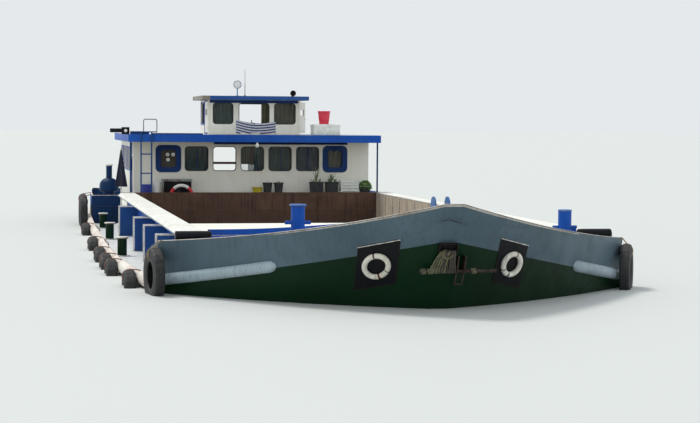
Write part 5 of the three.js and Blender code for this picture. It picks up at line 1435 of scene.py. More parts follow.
for side, word in SIDES:
    flanges, faces = [], []
    root, fold_y, edge_y = COAMING_HALF + 0.002, BRACKET.outer - BRACKET.fold, BRACKET.outer + SKIN_OUT
    foot, fold_z_at = SIDE_DECK_Z + 0.01, BRACKET.top - BRACKET.fold
    for x in BRACKET_XS:
        span = (x - BRACKET.flange_half, x + BRACKET.flange_half)
        flanges.append(boxed(span, sideways(side, root, edge_y), (fold_z_at, BRACKET.top + SKIN_OUT)))
        flanges.append(boxed(span, sideways(side, fold_y, edge_y), (foot, fold_z_at - 0.001)))
        plate = (x - BRACKET.half, x + BRACKET.half)
        faces.append(boxed(plate, sideways(side, root, fold_y), (foot, fold_z_at)))
    rib_y = sideways(side, HOLD_HALF - 0.012, HOLD_HALF + 0.01)
    ribs = [boxed((x - 0.03, x + 0.03), rib_y, (0.36, 2.98)) for x in spread(-6.9, 7.3, HOLD_RIBS)]
    piece("bracket_flanges_" + word, flanges, WHITE, edge=0.003)
    # The bracket faces take the darker blue of painted shade.
    piece("bracket_faces_" + word, faces, SHADED_BRACKET_BLUE, edge=0.003)
    piece("hold_ribs_" + word, ribs, RIBS, edge=0.003)
    lip = [Vector((x, side * 4.006, 2.952)) for x in spread(-7.3, TRUNK_FRONT_X - 0.01, 60)]
    piece("coaming_lip_" + word, [pipe(lip, 0.011, 8)], PALE_GREY)
print("bracket flanges:", 2 * len(BRACKET_XS), "and hold ribs:", 2 * HOLD_RIBS)

# %% Front of the trunk
TRUNK_TOP_Z = 3.0
fold = boxed((TRUNK_FRONT_X - 0.02, TRUNK_FRONT_X + 0.004), (-HOLD_HALF, HOLD_HALF), (2.99, 3.031))
foot = boxed((TRUNK_FRONT_X, TRUNK_FRONT_X + 0.05), (-HOLD_HALF, HOLD_HALF), (2.06, 2.075))
piece("trunk_front_edge", [fold, foot], WHITE, edge=0.003)
upstand = []
for y in spread(-HOLD_HALF + 0.02, HOLD_HALF - 0.02, 60):
    top = TRUNK_TOP_Z + 0.1 + 0.13 * math.cos(math.pi * y / (2 * HOLD_HALF)) ** 3
    corners = ((-0.016, TRUNK_TOP_Z), (0.0045, TRUNK_TOP_Z), (0.0045, top), (-0.002, top + 0.004),
               (-0.016, top + 0.004))
    upstand.append([Vector((TRUNK_FRONT_X + a, y, z)) for a, z in corners])
piece("trunk_upstand", [skin(upstand, "rod")], BLUE)
rise = max(p.z for row in upstand for p in row) - TRUNK_TOP_Z
print("in the middle the plate stands", round(rise, 2), "m above the trunk")

# %% [markdown]
# The house front has seven windows. The outermost two are small and sit in broad blue frames that
# are bolted on outside; the five between sit in black rubber. Each frame is a rounded ring: the
# same rounded rectangle drawn at two sizes and two depths. A brown board closes the window on the
# starboard end, with three white caps of pipes that come through it.

# %% Rounded rectangles and seals
HOUSE = Sizes(front=-8.3, back=-13.6, half=3.5)
WINDOW = Sizes(pitch=0.826, width=0.66, low=3.64, high=4.33, round=0.09)
WINDOW_Z = (WINDOW.low + WINDOW.high) / 2
CORNER_STEPS = 8


def rounded_box(y, z, width, height, r):
    """Corner points of a rounded rectangle that faces along X, as (y, z) pairs."""
    out = []
    for cy, cz, start in ((1, 1, 0), (-1, 1, 1), (-1, -1, 2), (1, -1, 3)):
        for k in range(CORNER_STEPS + 1):
            angle = (start + k / CORNER_STEPS) * math.pi / 2
            out.append((y + cy * (width / 2 - r) + r * math.cos(angle),
                        z + cz * (height / 2 - r) + r * math.sin(angle)))
    return out


def seal(y, z, width, height, r, x_back, x_front):
    """A rubber ring 20 mm wide round an opening of that size, its edges rounded off by a lip."""
    border, lip = 0.02, 0.005
    rows = []
    for grow, x in ((border, x_back), (border, x_front - lip), (border - lip, x_front), (lip, x_front),
                    (0.0, x_front - lip), (0.0, x_back)):
        rows.append([(x, a, b) for a, b in rounded_box(y, z, width + 2 * grow, height + 2 * grow, r + grow)])
    return skin(rows, "ring")


print("a rounded rectangle has", len(rounded_box(0, 0, 1, 1, 0.1)), "corners")

# %% Frames of the house front
front = HOUSE.front
WIDE = Sizes(width=0.432, height=0.502, round=0.086, outer_width=0.746, outer_height=0.796, outer_round=0.143)


def wide_frame(y):
    """A broad flange round a small window, with a raised lip at its inner edge."""
    whole = WIDE.outer_width - WIDE.width
    rows = []
    for grow, depth in ((whole, -0.021), (whole, 0.018), (whole - 0.012, 0.025), (0.11, 0.025), (0.1, 0.036),
                        (0.02, 0.036), (0.0, 0.026), (0.0, -0.061)):
        share = grow / whole
        rim = rounded_box(y, WINDOW_Z, WIDE.width + grow, lerp(WIDE.height, WIDE.outer_height, share),
                          lerp(WIDE.round, WIDE.outer_round, share))
        rows.append([(front + depth, a, b) for a, b in rim])
    return skin(rows, "ring")


piece("wide_window_frames", [wide_frame(i * WINDOW.pitch) for i in (-3, 3)], DARK_BLUE)
SCREW_HEAD = [(0.007, 0.0), (0.006, 0.003), (AXIS, 0.005)]
screws = []
for i in (-3, 3):
    line = rounded_box(i * WINDOW.pitch, WINDOW_Z, WIDE.outer_width - 0.08, WIDE.outer_height - 0.08, 0.11)
    screws += [turned(SCREW_HEAD, (front + 0.0245, a, b), "X", 8) for a, b in line[::3]]
piece("window_frame_screws", screws, GALVANISED)
size = (WINDOW.width - 0.004, WINDOW.high - WINDOW.low - 0.004, WINDOW.round)
seals = [seal(i * WINDOW.pitch, WINDOW_Z, *size, front - 0.062, front + 0.009) for i in range(-2, 3)]
piece("window_seals", seals, SEAL)
print("window seals:", len(seals), "screws:", len(screws))

# %% Board, pipe caps and window bars
BOARD = Sizes(y=-3 * WINDOW.pitch, half_wide=0.2155, half_high=0.2505)
PIPE_CAP = [(AXIS, 0.0), (0.045, 0.0), (0.056, 0.008), (0.05, 0.03), (0.034, 0.024), (AXIS, 0.024)]
board = boxed((front - 0.0455, front - 0.0192), (BOARD.y - BOARD.half_wide, BOARD.y + BOARD.half_wide),
              (WINDOW_Z - BOARD.half_high, WINDOW_Z + BOARD.half_high))
piece("window_board", [board], BOARD_TIMBER)
piece("board_caps", [turned(PIPE_CAP, (front - 0.02, BOARD.y + y, WINDOW_Z + z), axis="X", sides=32)
                     for y, z in ((-0.025, 0.12), (0.14, 0.12), (-0.01, -0.03))], WHITE_PLASTIC)
bars = [boxed((front - 0.058, front - 0.046), (y - 0.012, y + 0.012), (WINDOW.low, WINDOW.high))
        for y in (i * WINDOW.pitch + 0.02 for i in (-2, 1, 2))]
piece("window_bars", bars, DARK_BLUE, edge=0.002)
print("window bars:", len(bars))

# %% [markdown]
# Cotton curtains hang inside the fixed windows, each from a thin rail. A gathered curtain is about
# a third wider than the window it covers, so its line in plan is a row of waves. They deepen
# towards the hem, because the rail holds the top and nothing holds the foot. Their dark colours
# also paint the shade of the rooms behind the panes.

# %% Curtains
CLOTH_ANGLE = math.radians(80)
CURTAIN_ROWS, STEPS_PER_FOLD = 12, 10


def hang_curtains(place, x, rail, rail_z, curtains):
    """A rail from y to y, and curtains on it as (from y, to y, hem, folds, finish)."""
    rail_name = place + "_curtain_rail"
    piece(rail_name, [pipe([(x, y, rail_z) for y in rail], 0.008, 10)], GALVANISED)
    for k, (y0, y1, low, folds, finish) in enumerate(curtains):
        rows = []
        for v in spread(0, 1, CURTAIN_ROWS):
            deep, row = 0.016 * (0.6 + 0.4 * v), []
            for h in spread(0, 1, folds * STEPS_PER_FOLD):
                wave = math.sin(math.tau * folds * h + 0.5 * math.sin(3 * v + 9 * h))
                row.append(Vector((x + deep * wave, lerp(y0, y1, h), lerp(rail_z, low, v))))
            rows.append(row)
        curtain = piece(f"{place}_curtain_{k + 1}", [skin(rows)], finish, sharp=CLOTH_ANGLE)


hang_curtains("house", HOUSE.front - 0.13, (-2.1, 2.85), WINDOW.high + 0.05, [
    (-2.02, -1.28, 3.58, 6, GREEN_COTTON), (-0.36, -0.02, 3.84, 4, OLIVE_COTTON),
    (0.06, 0.37, 3.58, 3, GREEN_COTTON), (0.47, 1.19, 3.58, 6, GREEN_COTTON),
    (1.29, 2.02, 3.58, 6, SLATE_COTTON), (2.2, 2.78, 3.6, 5, OLIVE_COTTON)])

# %% [markdown]
# Flat bars frame the doors, the side openings and the back window, a steel angle runs under the
# eave across the front, and a skirt closes the front's foot. They are all of mild steel.

# %% Trim of the house
TRIM = 0.012


def trim_on_side(side, x, z, border, y_face, door=False):
    """Flat bars round an opening in a wall that looks to the side; a door's hinge side has none."""
    ys = sideways(side, y_face - 0.004, y_face + TRIM)
    (x0, x1), (z0, z1) = x, z
    far = x1 + (0.002 if door else border)
    parts = [boxed((x0 - border, x0 - 0.002), ys, (z0 - border, z1 + border)),
             boxed((x0 - 0.002, far), ys, (z1 + 0.002, z1 + border)),
             boxed((x0 - 0.002, far), ys, (z0 - border, z0 - 0.002))]
    if not door:
        parts.append(boxed((x1 + 0.002, x1 + border), ys, (z0 - border, z1 + border)))
    return parts


trims = []
for side, word in SIDES:
    trims += trim_on_side(side, (-9.12, -8.52), (2.64, 4.4), 0.05, HOUSE.half, door=True)
    for x in (-9.8, -10.9, -12.0, -13.0):
        trims += trim_on_side(side, (x - 0.33, x + 0.33), (WINDOW.low, WINDOW.high - 0.06), 0.045, HOUSE.half)
piece("side_opening_trim", trims, BLUE, edge=0.002)
angle = [boxed((front + 0.002, front + 0.05), (-1.15, 2.85), (4.44, 4.478)),
         boxed((front + 0.045, front + 0.05), (-1.15, 2.85), (4.41, 4.478))]
piece("eave_angle", angle, DARK_BLUE, edge=0.002)
skirt = boxed((front - 0.002, front + 0.006), (-HOUSE.half + 0.01, HOUSE.half - 0.01), (2.56, 2.72))
piece("house_skirt", [skirt], DARK_BLUE, edge=0.002)
back_bars = [((-0.945, 0.645), (4.302, 4.345)), ((-0.945, 0.645), (3.455, 3.498)),
             ((-0.945, -0.902), (3.498, 4.302)), ((0.602, 0.645), (3.498, 4.302))]
piece("back_window_trim", [boxed((HOUSE.back - TRIM, HOUSE.back + 0.004), y, z) for y, z in back_bars], BLUE,
      edge=0.002)
print("trim bars:", len(trims) + len(back_bars))

# %% [markdown]
# The roofs are shallow steel trays: a blue fascia 220 mm deep with rounded corners, a pale deck
# just below its rim, and a painted ceiling. They replace the frame's plain slabs, because from
# above one sees the rim and the tray. The house roof keeps its hole over the steering place.

# %% Makers of roofs and borders
HOUSE_ROOF = Sizes(x=(-13.9, -7.42), y=(-3.7, 3.7), low=4.48, top=4.7)
COMPANION_X = (-10.8, -9.05)
COMPANION_HALF = 1.25
WHEELHOUSE = Sizes(front=-8.9, back=-10.9, y=0.13, half=1.38)
PLATE_T = 0.012


def narrowed(span, by):
    return span[0] + by, span[1] - by


def flat_loop(x, y, inset, corner, z):
    """A rounded rectangle that lies flat, drawn in from the two spans."""
    (x0, x1), (y0, y1) = narrowed(x, inset), narrowed(y, inset)
    return [(a, b, z) for a, b in rounded_box((x0 + x1) / 2, (y0 + y1) / 2, x1 - x0, y1 - y0, corner)]


def fascia(x, y, low, top):
    """The upright rim of a roof: a rounded rectangle in plan, with a rolled upper edge."""
    corner, thick = 0.05, 0.02
    levels = [(0.004, low), (0, low + 0.004), (0, top - 0.006), (0.005, top), (thick - 0.005, top),
              (thick, top - 0.006), (thick, low + 0.002), (thick, low)]
    return skin([flat_loop(x, y, inset, corner - inset, z) for inset, z in levels], "ring")


def four_bars(x, y, z, thick):
    """Bars along the inside of a rectangle's four edges in plan."""
    (x0, x1), (y0, y1) = x, y
    return [boxed((x0, x0 + thick), y, z), boxed((x1 - thick, x1), y, z), boxed(x, (y0, y0 + thick), z),
            boxed(x, (y1 - thick, y1), z)]


print("the house roof is", round(HOUSE_ROOF.x[1] - HOUSE_ROOF.x[0], 2), "m long")

# %% House roof
roof = HOUSE_ROOF
hole_y = (WHEELHOUSE.y - COMPANION_HALF, WHEELHOUSE.y + COMPANION_HALF)
inside_x, inside_y = narrowed(roof.x, PLATE_T), narrowed(roof.y, PLATE_T)
fields = [((inside_x[0], COMPANION_X[0]), inside_y), ((COMPANION_X[1], inside_x[1]), inside_y),
          (COMPANION_X, (inside_y[0], hole_y[0])), (COMPANION_X, (hole_y[1], inside_y[1]))]
piece("house_roof_fascia", [fascia(roof.x, roof.y, roof.low, roof.top)], FASCIA_BLUE, replaces="house_roof")
piece("house_roof_top", [boxed(x, y, (roof.top - 0.03, roof.top - 0.001)) for x, y in fields], ROOF_TOP)
piece("house_ceiling", [boxed(x, y, (roof.low, roof.low + 0.02)) for x, y in fields], CEILING)
piece("companion_curb", four_bars(COMPANION_X, hole_y, (roof.low, roof.top), PLATE_T), CREAM)
print("the hole in the roof is", round(hole_y[1] - hole_y[0], 2), "m wide")

# %% [markdown]
# Two thin posts carry the roof's front corners, and a pipe and a beam lie along its edge. On the
# starboard corner sits a lamp in a box with a tube beside it, and a bulb hangs under the eave. The
# wheelhouse has a tray of the same kind, half as high.

# %% Posts and pipe of the house roof
ROOF_POST = Sizes(x=-7.6, y=3.62, r=0.025)
FOOT_PLATE = [(AXIS, 0.0), (0.06, 0.0), (0.06, 0.01), (0.025, 0.012)]
feet = [(ROOF_POST.x, y, AFT_DECK_Z) for y in (-ROOF_POST.y, ROOF_POST.y)]
posts = [pipe([(x, y, z), (x, y, roof.low + 0.01)], ROOF_POST.r, 16) for x, y, z in feet]
piece("roof_posts", posts + [turned(FOOT_PLATE, foot, sides=24) for foot in feet], DARK_BLUE)
ROOF_PIPE = Sizes(x=-7.5, y=(-3.05, -1.56), r=0.02)
roof_pipe = pipe([(ROOF_PIPE.x, y, roof.top + ROOF_PIPE.r - 0.003) for y in ROOF_PIPE.y], ROOF_PIPE.r, 14)
piece("roof_pipe", [roof_pipe], DARK_BLUE)
print("roof posts stand", 2 * ROOF_POST.y, "m apart")

# %% Lamps and beam of the house roof
LAMP_BOX = Sizes(x=(-7.7, -7.52), y=(-3.88, -3.66), top=4.9)
lens_at = (LAMP_BOX.x[1] - 0.002, sum(LAMP_BOX.y) / 2, 4.8)
lens = turned([(AXIS, 0.0), (0.042, 0.0), (0.045, 0.006), (0.04, 0.012), (AXIS, 0.014)], lens_at, "X", 32)
tube = turned([(AXIS, 0.004), (0.05, 0.0), (0.058, 0.008), (0.058, 0.34), (AXIS, 0.34)],
              (-7.6, -4.21, 4.805), "Y", 32)
piece("corner_lamp_box", [boxed(LAMP_BOX.x, LAMP_BOX.y, (roof.top - 0.004, LAMP_BOX.top))], BLACK, edge=0.012)
piece("corner_lamp_lens", [lens], LAMP_GLASS)
piece("corner_lamp_tube", [tube], BLACK)
beam = boxed((-7.6, -7.5), (-3.64, -3.1), (roof.top - 0.002, roof.top + 0.085))
piece("roof_beam", [beam], DARK_BLUE, edge=0.004)
bulb = turned([(AXIS, 0.02), (0.022, 0.02), (0.024, -0.02), (0.03, -0.03), (0.052, -0.07), (0.055, -0.1),
               (0.045, -0.135), (0.02, -0.152), (AXIS, -0.154)], (-7.47, 0.02, roof.low), sides=28)
piece("eave_bulb", [bulb], LAMP_GLASS, slot="white_plastic")
print("the box on the corner is", round(LAMP_BOX.top - roof.top, 2), "m high")

# %% Wheelhouse roof
WHEEL_ROOF = Sizes(x=(-11.15, -8.5), y=(-1.47, 1.73), low=5.72, top=5.84)
wheel_fascia = fascia(WHEEL_ROOF.x, WHEEL_ROOF.y, WHEEL_ROOF.low, WHEEL_ROOF.top)
piece("wheelhouse_roof_fascia", [wheel_fascia], WHEEL_FASCIA, replaces="wheelhouse_roof")
inside = narrowed(WHEEL_ROOF.x, PLATE_T), narrowed(WHEEL_ROOF.y, PLATE_T)
piece("wheelhouse_roof_top", [boxed(*inside, (WHEEL_ROOF.top - 0.02, WHEEL_ROOF.top - 0.001))], ROOF_TOP)
piece("wheelhouse_ceiling", [boxed(*inside, (WHEEL_ROOF.low + 0.0005, WHEEL_ROOF.low + 0.012))], CEILING)
print("wheelhouse roof top at", WHEEL_ROOF.top, "m")

# %% [markdown]
# On the wheelhouse roof stand an air horn with its trumpet forward, a round lamp seen as a disc,
# and a whip aerial. The horn and the lamp are turned profiles; the aerial is a rod that tapers.

# %% Roof fittings
HORN_Y, HORN_Z = 1.25, 5.93
horn = turned([(AXIS, -0.16), (0.03, -0.16), (0.055, -0.145), (0.058, -0.1), (0.03, -0.085), (0.026, -0.04),
               (0.04, 0.0), (0.062, 0.04), (0.09, 0.06), (0.086, 0.06), (0.046, 0.035), (0.02, 0.0),
               (AXIS, -0.01)], (-8.62, HORN_Y, HORN_Z), "X", 32)
bracket = boxed((-8.735, -8.665), (HORN_Y - 0.03, HORN_Y + 0.03), (WHEEL_ROOF.top - 0.004, HORN_Z - 0.03))
piece("horn", [horn, bracket], BLACK, edge=0.003)

STALK = Sizes(x=-8.8, y=-0.39, lamp=6.175)
stalk = pipe([(STALK.x, STALK.y, z) for z in (WHEEL_ROOF.top - 0.005, STALK.lamp - 0.1)], 0.016, 14)
drum = turned([(AXIS, -0.045), (0.06, -0.045), (0.1, -0.03), (0.118, 0.0), (0.12, 0.03), (0.12, 0.044),
               (0.11, 0.044), (0.108, 0.03), (AXIS, 0.026)], (STALK.x, STALK.y, STALK.lamp), "X")
flange = turned([(AXIS, -0.002), (0.06, -0.002), (0.06, 0.01), (0.02, 0.014)],
                (STALK.x, STALK.y, WHEEL_ROOF.top), sides=24)
glass_at = (STALK.x + 0.029, STALK.y, STALK.lamp)
glass = turned([(AXIS, 0.0), (0.11, 0.0), (0.09, 0.008), (AXIS, 0.013)], glass_at, "X")
piece("search_lamp", [stalk, drum, flange], LAMP_SHELL)
piece("search_lamp_glass", [glass], LAMP_GLASS)
whip = turned([(AXIS, -0.002), (0.03, -0.002), (0.03, 0.03), (0.012, 0.05), (0.011, 0.36), (0.0085, 0.37),
               (0.006, 0.815), (AXIS, 0.82)], (-9.4, -0.08, WHEEL_ROOF.top), sides=14)
piece("aerial", [whip], GALVANISED)
print("horn, lamp and aerial ready")

# %% [markdown]
# The wheelhouse: cream plate, windows in black rubber, blue bars round the side openings and a
# blue band under the roof. The middle window stands open, and curtains hang inside beside it.

# %% Wheelhouse trim
W_Z = (5.02, 5.62)
W_WINDOWS = [(-1.22, -0.64), (-0.445, 0.445), (0.62, 1.24)]
wx = WHEELHOUSE.front


def wheel_seal(y0, y1, x_back, x_front):
    """The rubber round a window of the wheelhouse, a little smaller than its opening."""
    return seal(WHEELHOUSE.y + (y0 + y1) / 2, sum(W_Z) / 2, y1 - y0 - 0.004, W_Z[1] - W_Z[0] - 0.004, 0.08,
                x_back, x_front)


piece("wheelhouse_seals", [wheel_seal(*ys, wx - 0.052, wx + 0.009) for ys in W_WINDOWS], SEAL)
y_low, y_high = WHEELHOUSE.y - WHEELHOUSE.half, WHEELHOUSE.y + WHEELHOUSE.half
edges = ((y_low, y_low + 0.05), (y_high - 0.05, y_high))
strips = [boxed((wx - 0.001, wx + 0.01), y, (4.705, 5.715)) for y in edges]
strips.append(boxed((wx - 0.001, wx + 0.012), (y_low + 0.05, y_high - 0.05), (4.705, 4.74)))
piece("wheelhouse_pilasters", strips, CREAM, edge=0.002)
head_band = boxed((wx - 0.001, wx + 0.011), (y_low + 0.052, y_high - 0.052), (5.635, 5.714))
piece("wheelhouse_head_band", [head_band], DARK_BLUE, edge=0.002)
side_trims = []
for side, y_face in ((1, y_high), (-1, -y_low)):
    side_trims += trim_on_side(side, (-10.7, -9.9), W_Z, 0.04, y_face)
    side_trims += trim_on_side(side, (-9.72, -9.0), (4.74, 5.68), 0.035, y_face, door=True)
piece("wheelhouse_side_trim", side_trims, BLUE, edge=0.002)
back_seal = wheel_seal(-0.9, 0.9, WHEELHOUSE.back - 0.009, WHEELHOUSE.back + 0.052)
piece("wheelhouse_back_seal", [back_seal], SEAL)
# Their dark colours also paint the shade of the room behind the panes.
hang_curtains("wheelhouse", wx - 0.11, (-1.16, 1.42), W_Z[1] + 0.05, [
    (-1.13, -0.46, 4.97, 5, GREEN_COTTON), (0.36, 0.66, 4.97, 3, OLIVE_COTTON),
    (0.72, 1.4, 4.97, 5, OLIVE_COTTON)])
print("side trims:", len(side_trims))

# %% [markdown]
# A striped cotton sheet hangs over the sill of the open window, held at its two upper corners. Its
# top edge sags between them, and the stripes sag with it. Hung cloth falls in shallow waves that
# grow towards the free hem, so each point is pushed in and out by a wave that is faint at the top.

# %% Striped sheet
SHEET = Sizes(y=(-0.41, 0.78), z=(4.706, 5.147), x=wx + 0.0123, depth=0.0095, sag=0.085, slope=0.055)
SHEET_COLUMNS, SHEET_ROWS = 120, 46
width = SHEET.y[1] - SHEET.y[0]
cloth_rows, cloth_uv = [], []
for v in spread(0, 1, SHEET_ROWS):
    row = []
    for h in spread(0, 1, SHEET_COLUMNS):
        wave = 0.6 * math.sin(h * 21 + 1.7 * math.sin(h * 5)) + 0.4 * math.sin(h * 37 + v * 2.2)
        top = SHEET.z[1] - SHEET.sag * math.sin(h * math.pi) ** 0.8 - SHEET.slope * h
        hem = SHEET.z[0] + 0.006 + 0.004 * math.sin(h * 9 + 1)
        out = SHEET.depth * (0.35 + 0.65 * v) * wave
        row.append(Vector((SHEET.x + out, SHEET.y[0] + h * width, lerp(top, hem, v))))
        cloth_uv.append((h * width, (top - hem) * (1 - v) - (top - SHEET.z[1])))
    cloth_rows.append(row)
cloth = piece("striped_sheet", [skin(cloth_rows)], STRIPES, sharp=CLOTH_ANGLE, replaces="sill_cloth")
layer = cloth.data.uv_layers.new(name="threads")
for loop in cloth.data.loops:
    layer.data[loop.index].uv = cloth_uv[loop.vertex_index]
area = sum(face.area for face in cloth.data.polygons)
print("sheet spans", round(width, 2), "m, area", round(area, 3))

# %% [markdown]
# A navy parasol stands folded by the house. Its canopy is an octagon 1 m to the corner, gathered
# round the pole: a folded canopy is a ring of deep pleats, wide at the hem and tight at the top.
# The hem swings between the outer ribs and the pole.

# %% Folded parasol
PARASOL = Sizes(x=-7.7, y=-3.89, low=3.185, high=4.26, r=0.187)
PLEATS, STEPS_PER_PLEAT = 16, 8
canopy_rows = []
for v in spread(0, 1, 40):
    outer, inner = 0.022 + (PARASOL.r - 0.022) * v ** 1.1, 0.014 + 0.05 * v ** 1.4
    row = []
    for k in range(PLEATS * STEPS_PER_PLEAT):
        turn = k * math.tau / (PLEATS * STEPS_PER_PLEAT)
        phase = math.cos(PLEATS * turn) * 0.5 + 0.5
        lean = 0.3 * math.sin(PLEATS * turn) * v / PLEATS * 2 + 0.06 * math.sin(turn * 3) * v
        reach = lerp(inner, outer, phase ** 1.3) * (1 - 0.05 * noise.noise(Vector((turn * 2, v * 4, 3))))
        x, y = PARASOL.x + reach * math.cos(turn + lean), PARASOL.y + reach * math.sin(turn + lean)
        row.append(Vector((x, y, lerp(PARASOL.high - 0.01, PARASOL.low + 0.02, v) - 0.02 * phase * v)))
    canopy_rows.append(row)
canopy = piece("parasol_canopy", [skin(canopy_rows, "tube")], NAVY, sharp=CLOTH_ANGLE, replaces="parasol")
foot = [(AXIS, 0.001), (0.132, 0.001), (0.135, 0.008), (0.135, 0.06), (0.125, 0.07), (0.04, 0.095),
        (0.036, 0.11), (0.019, 0.11)]
pole_top = PARASOL.high - SIDE_DECK_Z
pole = foot + [(0.019, pole_top + 0.02), (0.012, pole_top + 0.045), (AXIS, pole_top + 0.05)]
piece("parasol_pole", [turned(pole, (PARASOL.x, PARASOL.y, SIDE_DECK_Z), sides=32)], WHITE_PLASTIC)
print("pleats:", PLEATS, "canopy area", round(sum(face.area for face in canopy.data.polygons), 2))

# %% [markdown]
# The aft deck carries what the crew lives with: a hooded engine room vent with its exhaust pipe,
# a ladder to the roof, a life ring, a bench of planters, a tank with a red bucket on the roof.
# The vent is spun from sheet, so its hood is a smooth dome with a rolled rim.

# %% Vent
VENT = Sizes(x=-9.62, y=-4.12, hood=3.39, hood_r=0.285, pipe_r=0.088, top=3.79)
low, deck, collar_r = VENT.hood - 0.42, AFT_DECK_Z, VENT.pipe_r + 0.012
dome = [(VENT.hood_r * math.cos(t), VENT.hood - 0.24 + 0.24 * math.sin(t)) for t in spread(0, 1.35, 14)]
vent = turned([(AXIS, deck + 0.001), (0.2, deck + 0.001), (0.2, deck + 0.02), (0.17, deck + 0.024),
               (0.17, low), (0.25, low + 0.01), (0.278, low + 0.02), (VENT.hood_r, low + 0.035),
               (VENT.hood_r, VENT.hood - 0.3), *dome, (collar_r, VENT.hood + 0.002),
               (collar_r, VENT.hood + 0.02), (VENT.pipe_r, VENT.hood + 0.024), (VENT.pipe_r, VENT.top - 0.05),
               (AXIS, VENT.top - 0.05)], (VENT.x, VENT.y, 0), sides=56)
# Its dark blue enamel is painted shade.
piece("vent_hood", [vent], VENT_BLUE, replaces="hooded_vent")
cap = [(AXIS, VENT.top - 0.049), *rounded_lid(VENT.pipe_r + 0.022, VENT.top - 0.05, VENT.top - 0.006)]
piece("vent_cap", [turned(cap, (VENT.x, VENT.y, 0), sides=48)], WHITE)
print("the vent's pipe ends at", VENT.top, "m")

# %% Ladder
LADDER = Sizes(x=-7.39, y=(-3.34, -3.04), foot=3.032, top=4.78, hoop_y=(-3.27, -2.89), hoop_top=5.13)
RUNG_HEIGHTS = (0.55, 1.1)
lx = LADDER.x
pipes = [pipe([(lx, y, LADDER.foot), (lx, y, LADDER.top)], 0.022, 14) for y in LADDER.y]
pipes += [pipe([(lx, y, 4.6), (HOUSE.front + 0.004, y, 4.6)], 0.012) for y in LADDER.y]
pipes += [pipe([(lx, y, LADDER.foot + rise) for y in LADDER.y], 0.018) for rise in RUNG_HEIGHTS]
rail_ends = (LADDER.y[0] - 0.012, LADDER.hoop_y[1] + 0.012)
pipes.append(pipe([(lx, y, LADDER.top - 0.01) for y in rail_ends], 0.015))
piece("ladder_pipes", pipes, SHADED_BRACKET_BLUE, replaces="ladder")
(y0, y1), low, high = LADDER.hoop_y, LADDER.top - 0.015, LADDER.hoop_top
hoop = rounded_path([(lx, y0, low), (lx, y0, high), (lx, y1, high), (lx, y1, low)], 0.06)
piece("ladder_hoop", [pipe(hoop, 0.0145)], GALVANISED)
print("ladder rungs:", len(RUNG_HEIGHTS))

# %% [markdown]
# The life ring leans on the coaming. It is foam in a white plastic skin with three red bands; the
# bands are short lengths of the same tube, 2 mm larger, so that they read as tape round it.

# %% Life ring
RING = Sizes(x=-7.615, y=-2.16, r=0.31, tube=0.0515)
BAND_HALF = 0.34
ring_z = AFT_DECK_Z + 0.0003 + RING.r + 0.052


def ring_arc(angles):
    return [Vector((RING.x, RING.y + RING.r * math.cos(t), ring_z + RING.r * math.sin(t))) for t in angles]


whole = pipe(ring_arc(spread(0, math.tau, 73)[:-1]), RING.tube - 0.002, 24, closed=True)
piece("life_ring_skin", [whole], WHITE_PLASTIC, replaces="life_ring")
bands = [pipe(ring_arc(spread(t - BAND_HALF, t + BAND_HALF, 14)), RING.tube, 24)
         for t in (k * math.tau / 3 + 0.58 for k in range(3))]
piece("life_ring_bands", bands, RING_ORANGE)
print("life ring", round(2 * (RING.r + RING.tube), 2), "m across")

# %% [markdown]
# A long bench of planks stands before the house. On it are black plastic pots and planter boxes
# with a rim and heaped soil, a white crate and a shallow tray. Beside it, by the starboard door,
# stands a low cupboard: the frame's own solid, with two dark doors laid on its face.

# %% Bench
BENCH = Sizes(x=(-8.1, -7.68), y=(-0.1, 3.5), top=3.0, leg=0.045)
PLANKS, PLANK_PITCH = 3, 0.14


def four_posts(x, y, z, thick):
    """A square post inside each corner of a rectangle in plan."""
    return [boxed((a, a + thick), (b, b + thick), z) for a in (x[0], x[1] - thick)
            for b in (y[0], y[1] - thick)]


back, rail_z = BENCH.x[0], (2.7, 2.74)
bench = [boxed(narrowed((x, x + PLANK_PITCH), 0.003), BENCH.y, (BENCH.top - 0.03, BENCH.top))
         for x in (back + k * PLANK_PITCH for k in range(PLANKS))]
bench += four_posts(BENCH.x, BENCH.y, (AFT_DECK_Z + 0.0003, BENCH.top - 0.029), BENCH.leg)
bench += [boxed(narrowed(BENCH.x, 0.01), (y + 0.01, y + 0.035), rail_z)
          for y in (BENCH.y[0], BENCH.y[1] - BENCH.leg)]
bench.append(boxed((back + 0.012, back + 0.034), BENCH.y, rail_z))
piece("bench", bench, TIMBER, edge=0.003, replaces="plant_bench")

print("bench", round(BENCH.y[1] - BENCH.y[0], 2), "m long")

# %% Cupboard
CUPBOARD = Sizes(face=-7.74, y=(-2.66, -1.87), z=(2.6, 3.34))
middle_y = sum(CUPBOARD.y) / 2
leaves = [boxed((CUPBOARD.face - 0.002, CUPBOARD.face + 0.012), y, CUPBOARD.z)
          for y in ((CUPBOARD.y[0], middle_y - 0.004), (middle_y + 0.004, CUPBOARD.y[1]))]
piece("cupboard_doors", leaves, BLACK, edge=0.003)
root, grip = CUPBOARD.face + 0.008, CUPBOARD.face + 0.03
pull_ys = (middle_y - 0.05, middle_y + 0.05)
pulls = [pipe([(grip, y, 3.0), (grip, y, 3.1)], 0.006, 10) for y in pull_ys]
pulls += [pipe([(root, y, z), (grip, y, z)], 0.006, 10) for y in pull_ys for z in (3.0, 3.1)]
piece("cupboard_pulls", pulls, GALVANISED)
print("doors of the cupboard:", len(leaves))

# %% [markdown]
# A planter box is moulded with walls that lean out, a folded rim and a floor. It is drawn as one
# rounded rectangle that grows as it rises, folds over at the rim and comes down again inside. A
# round pot is the same idea turned about its middle. The soil is a low heap with a rough top.

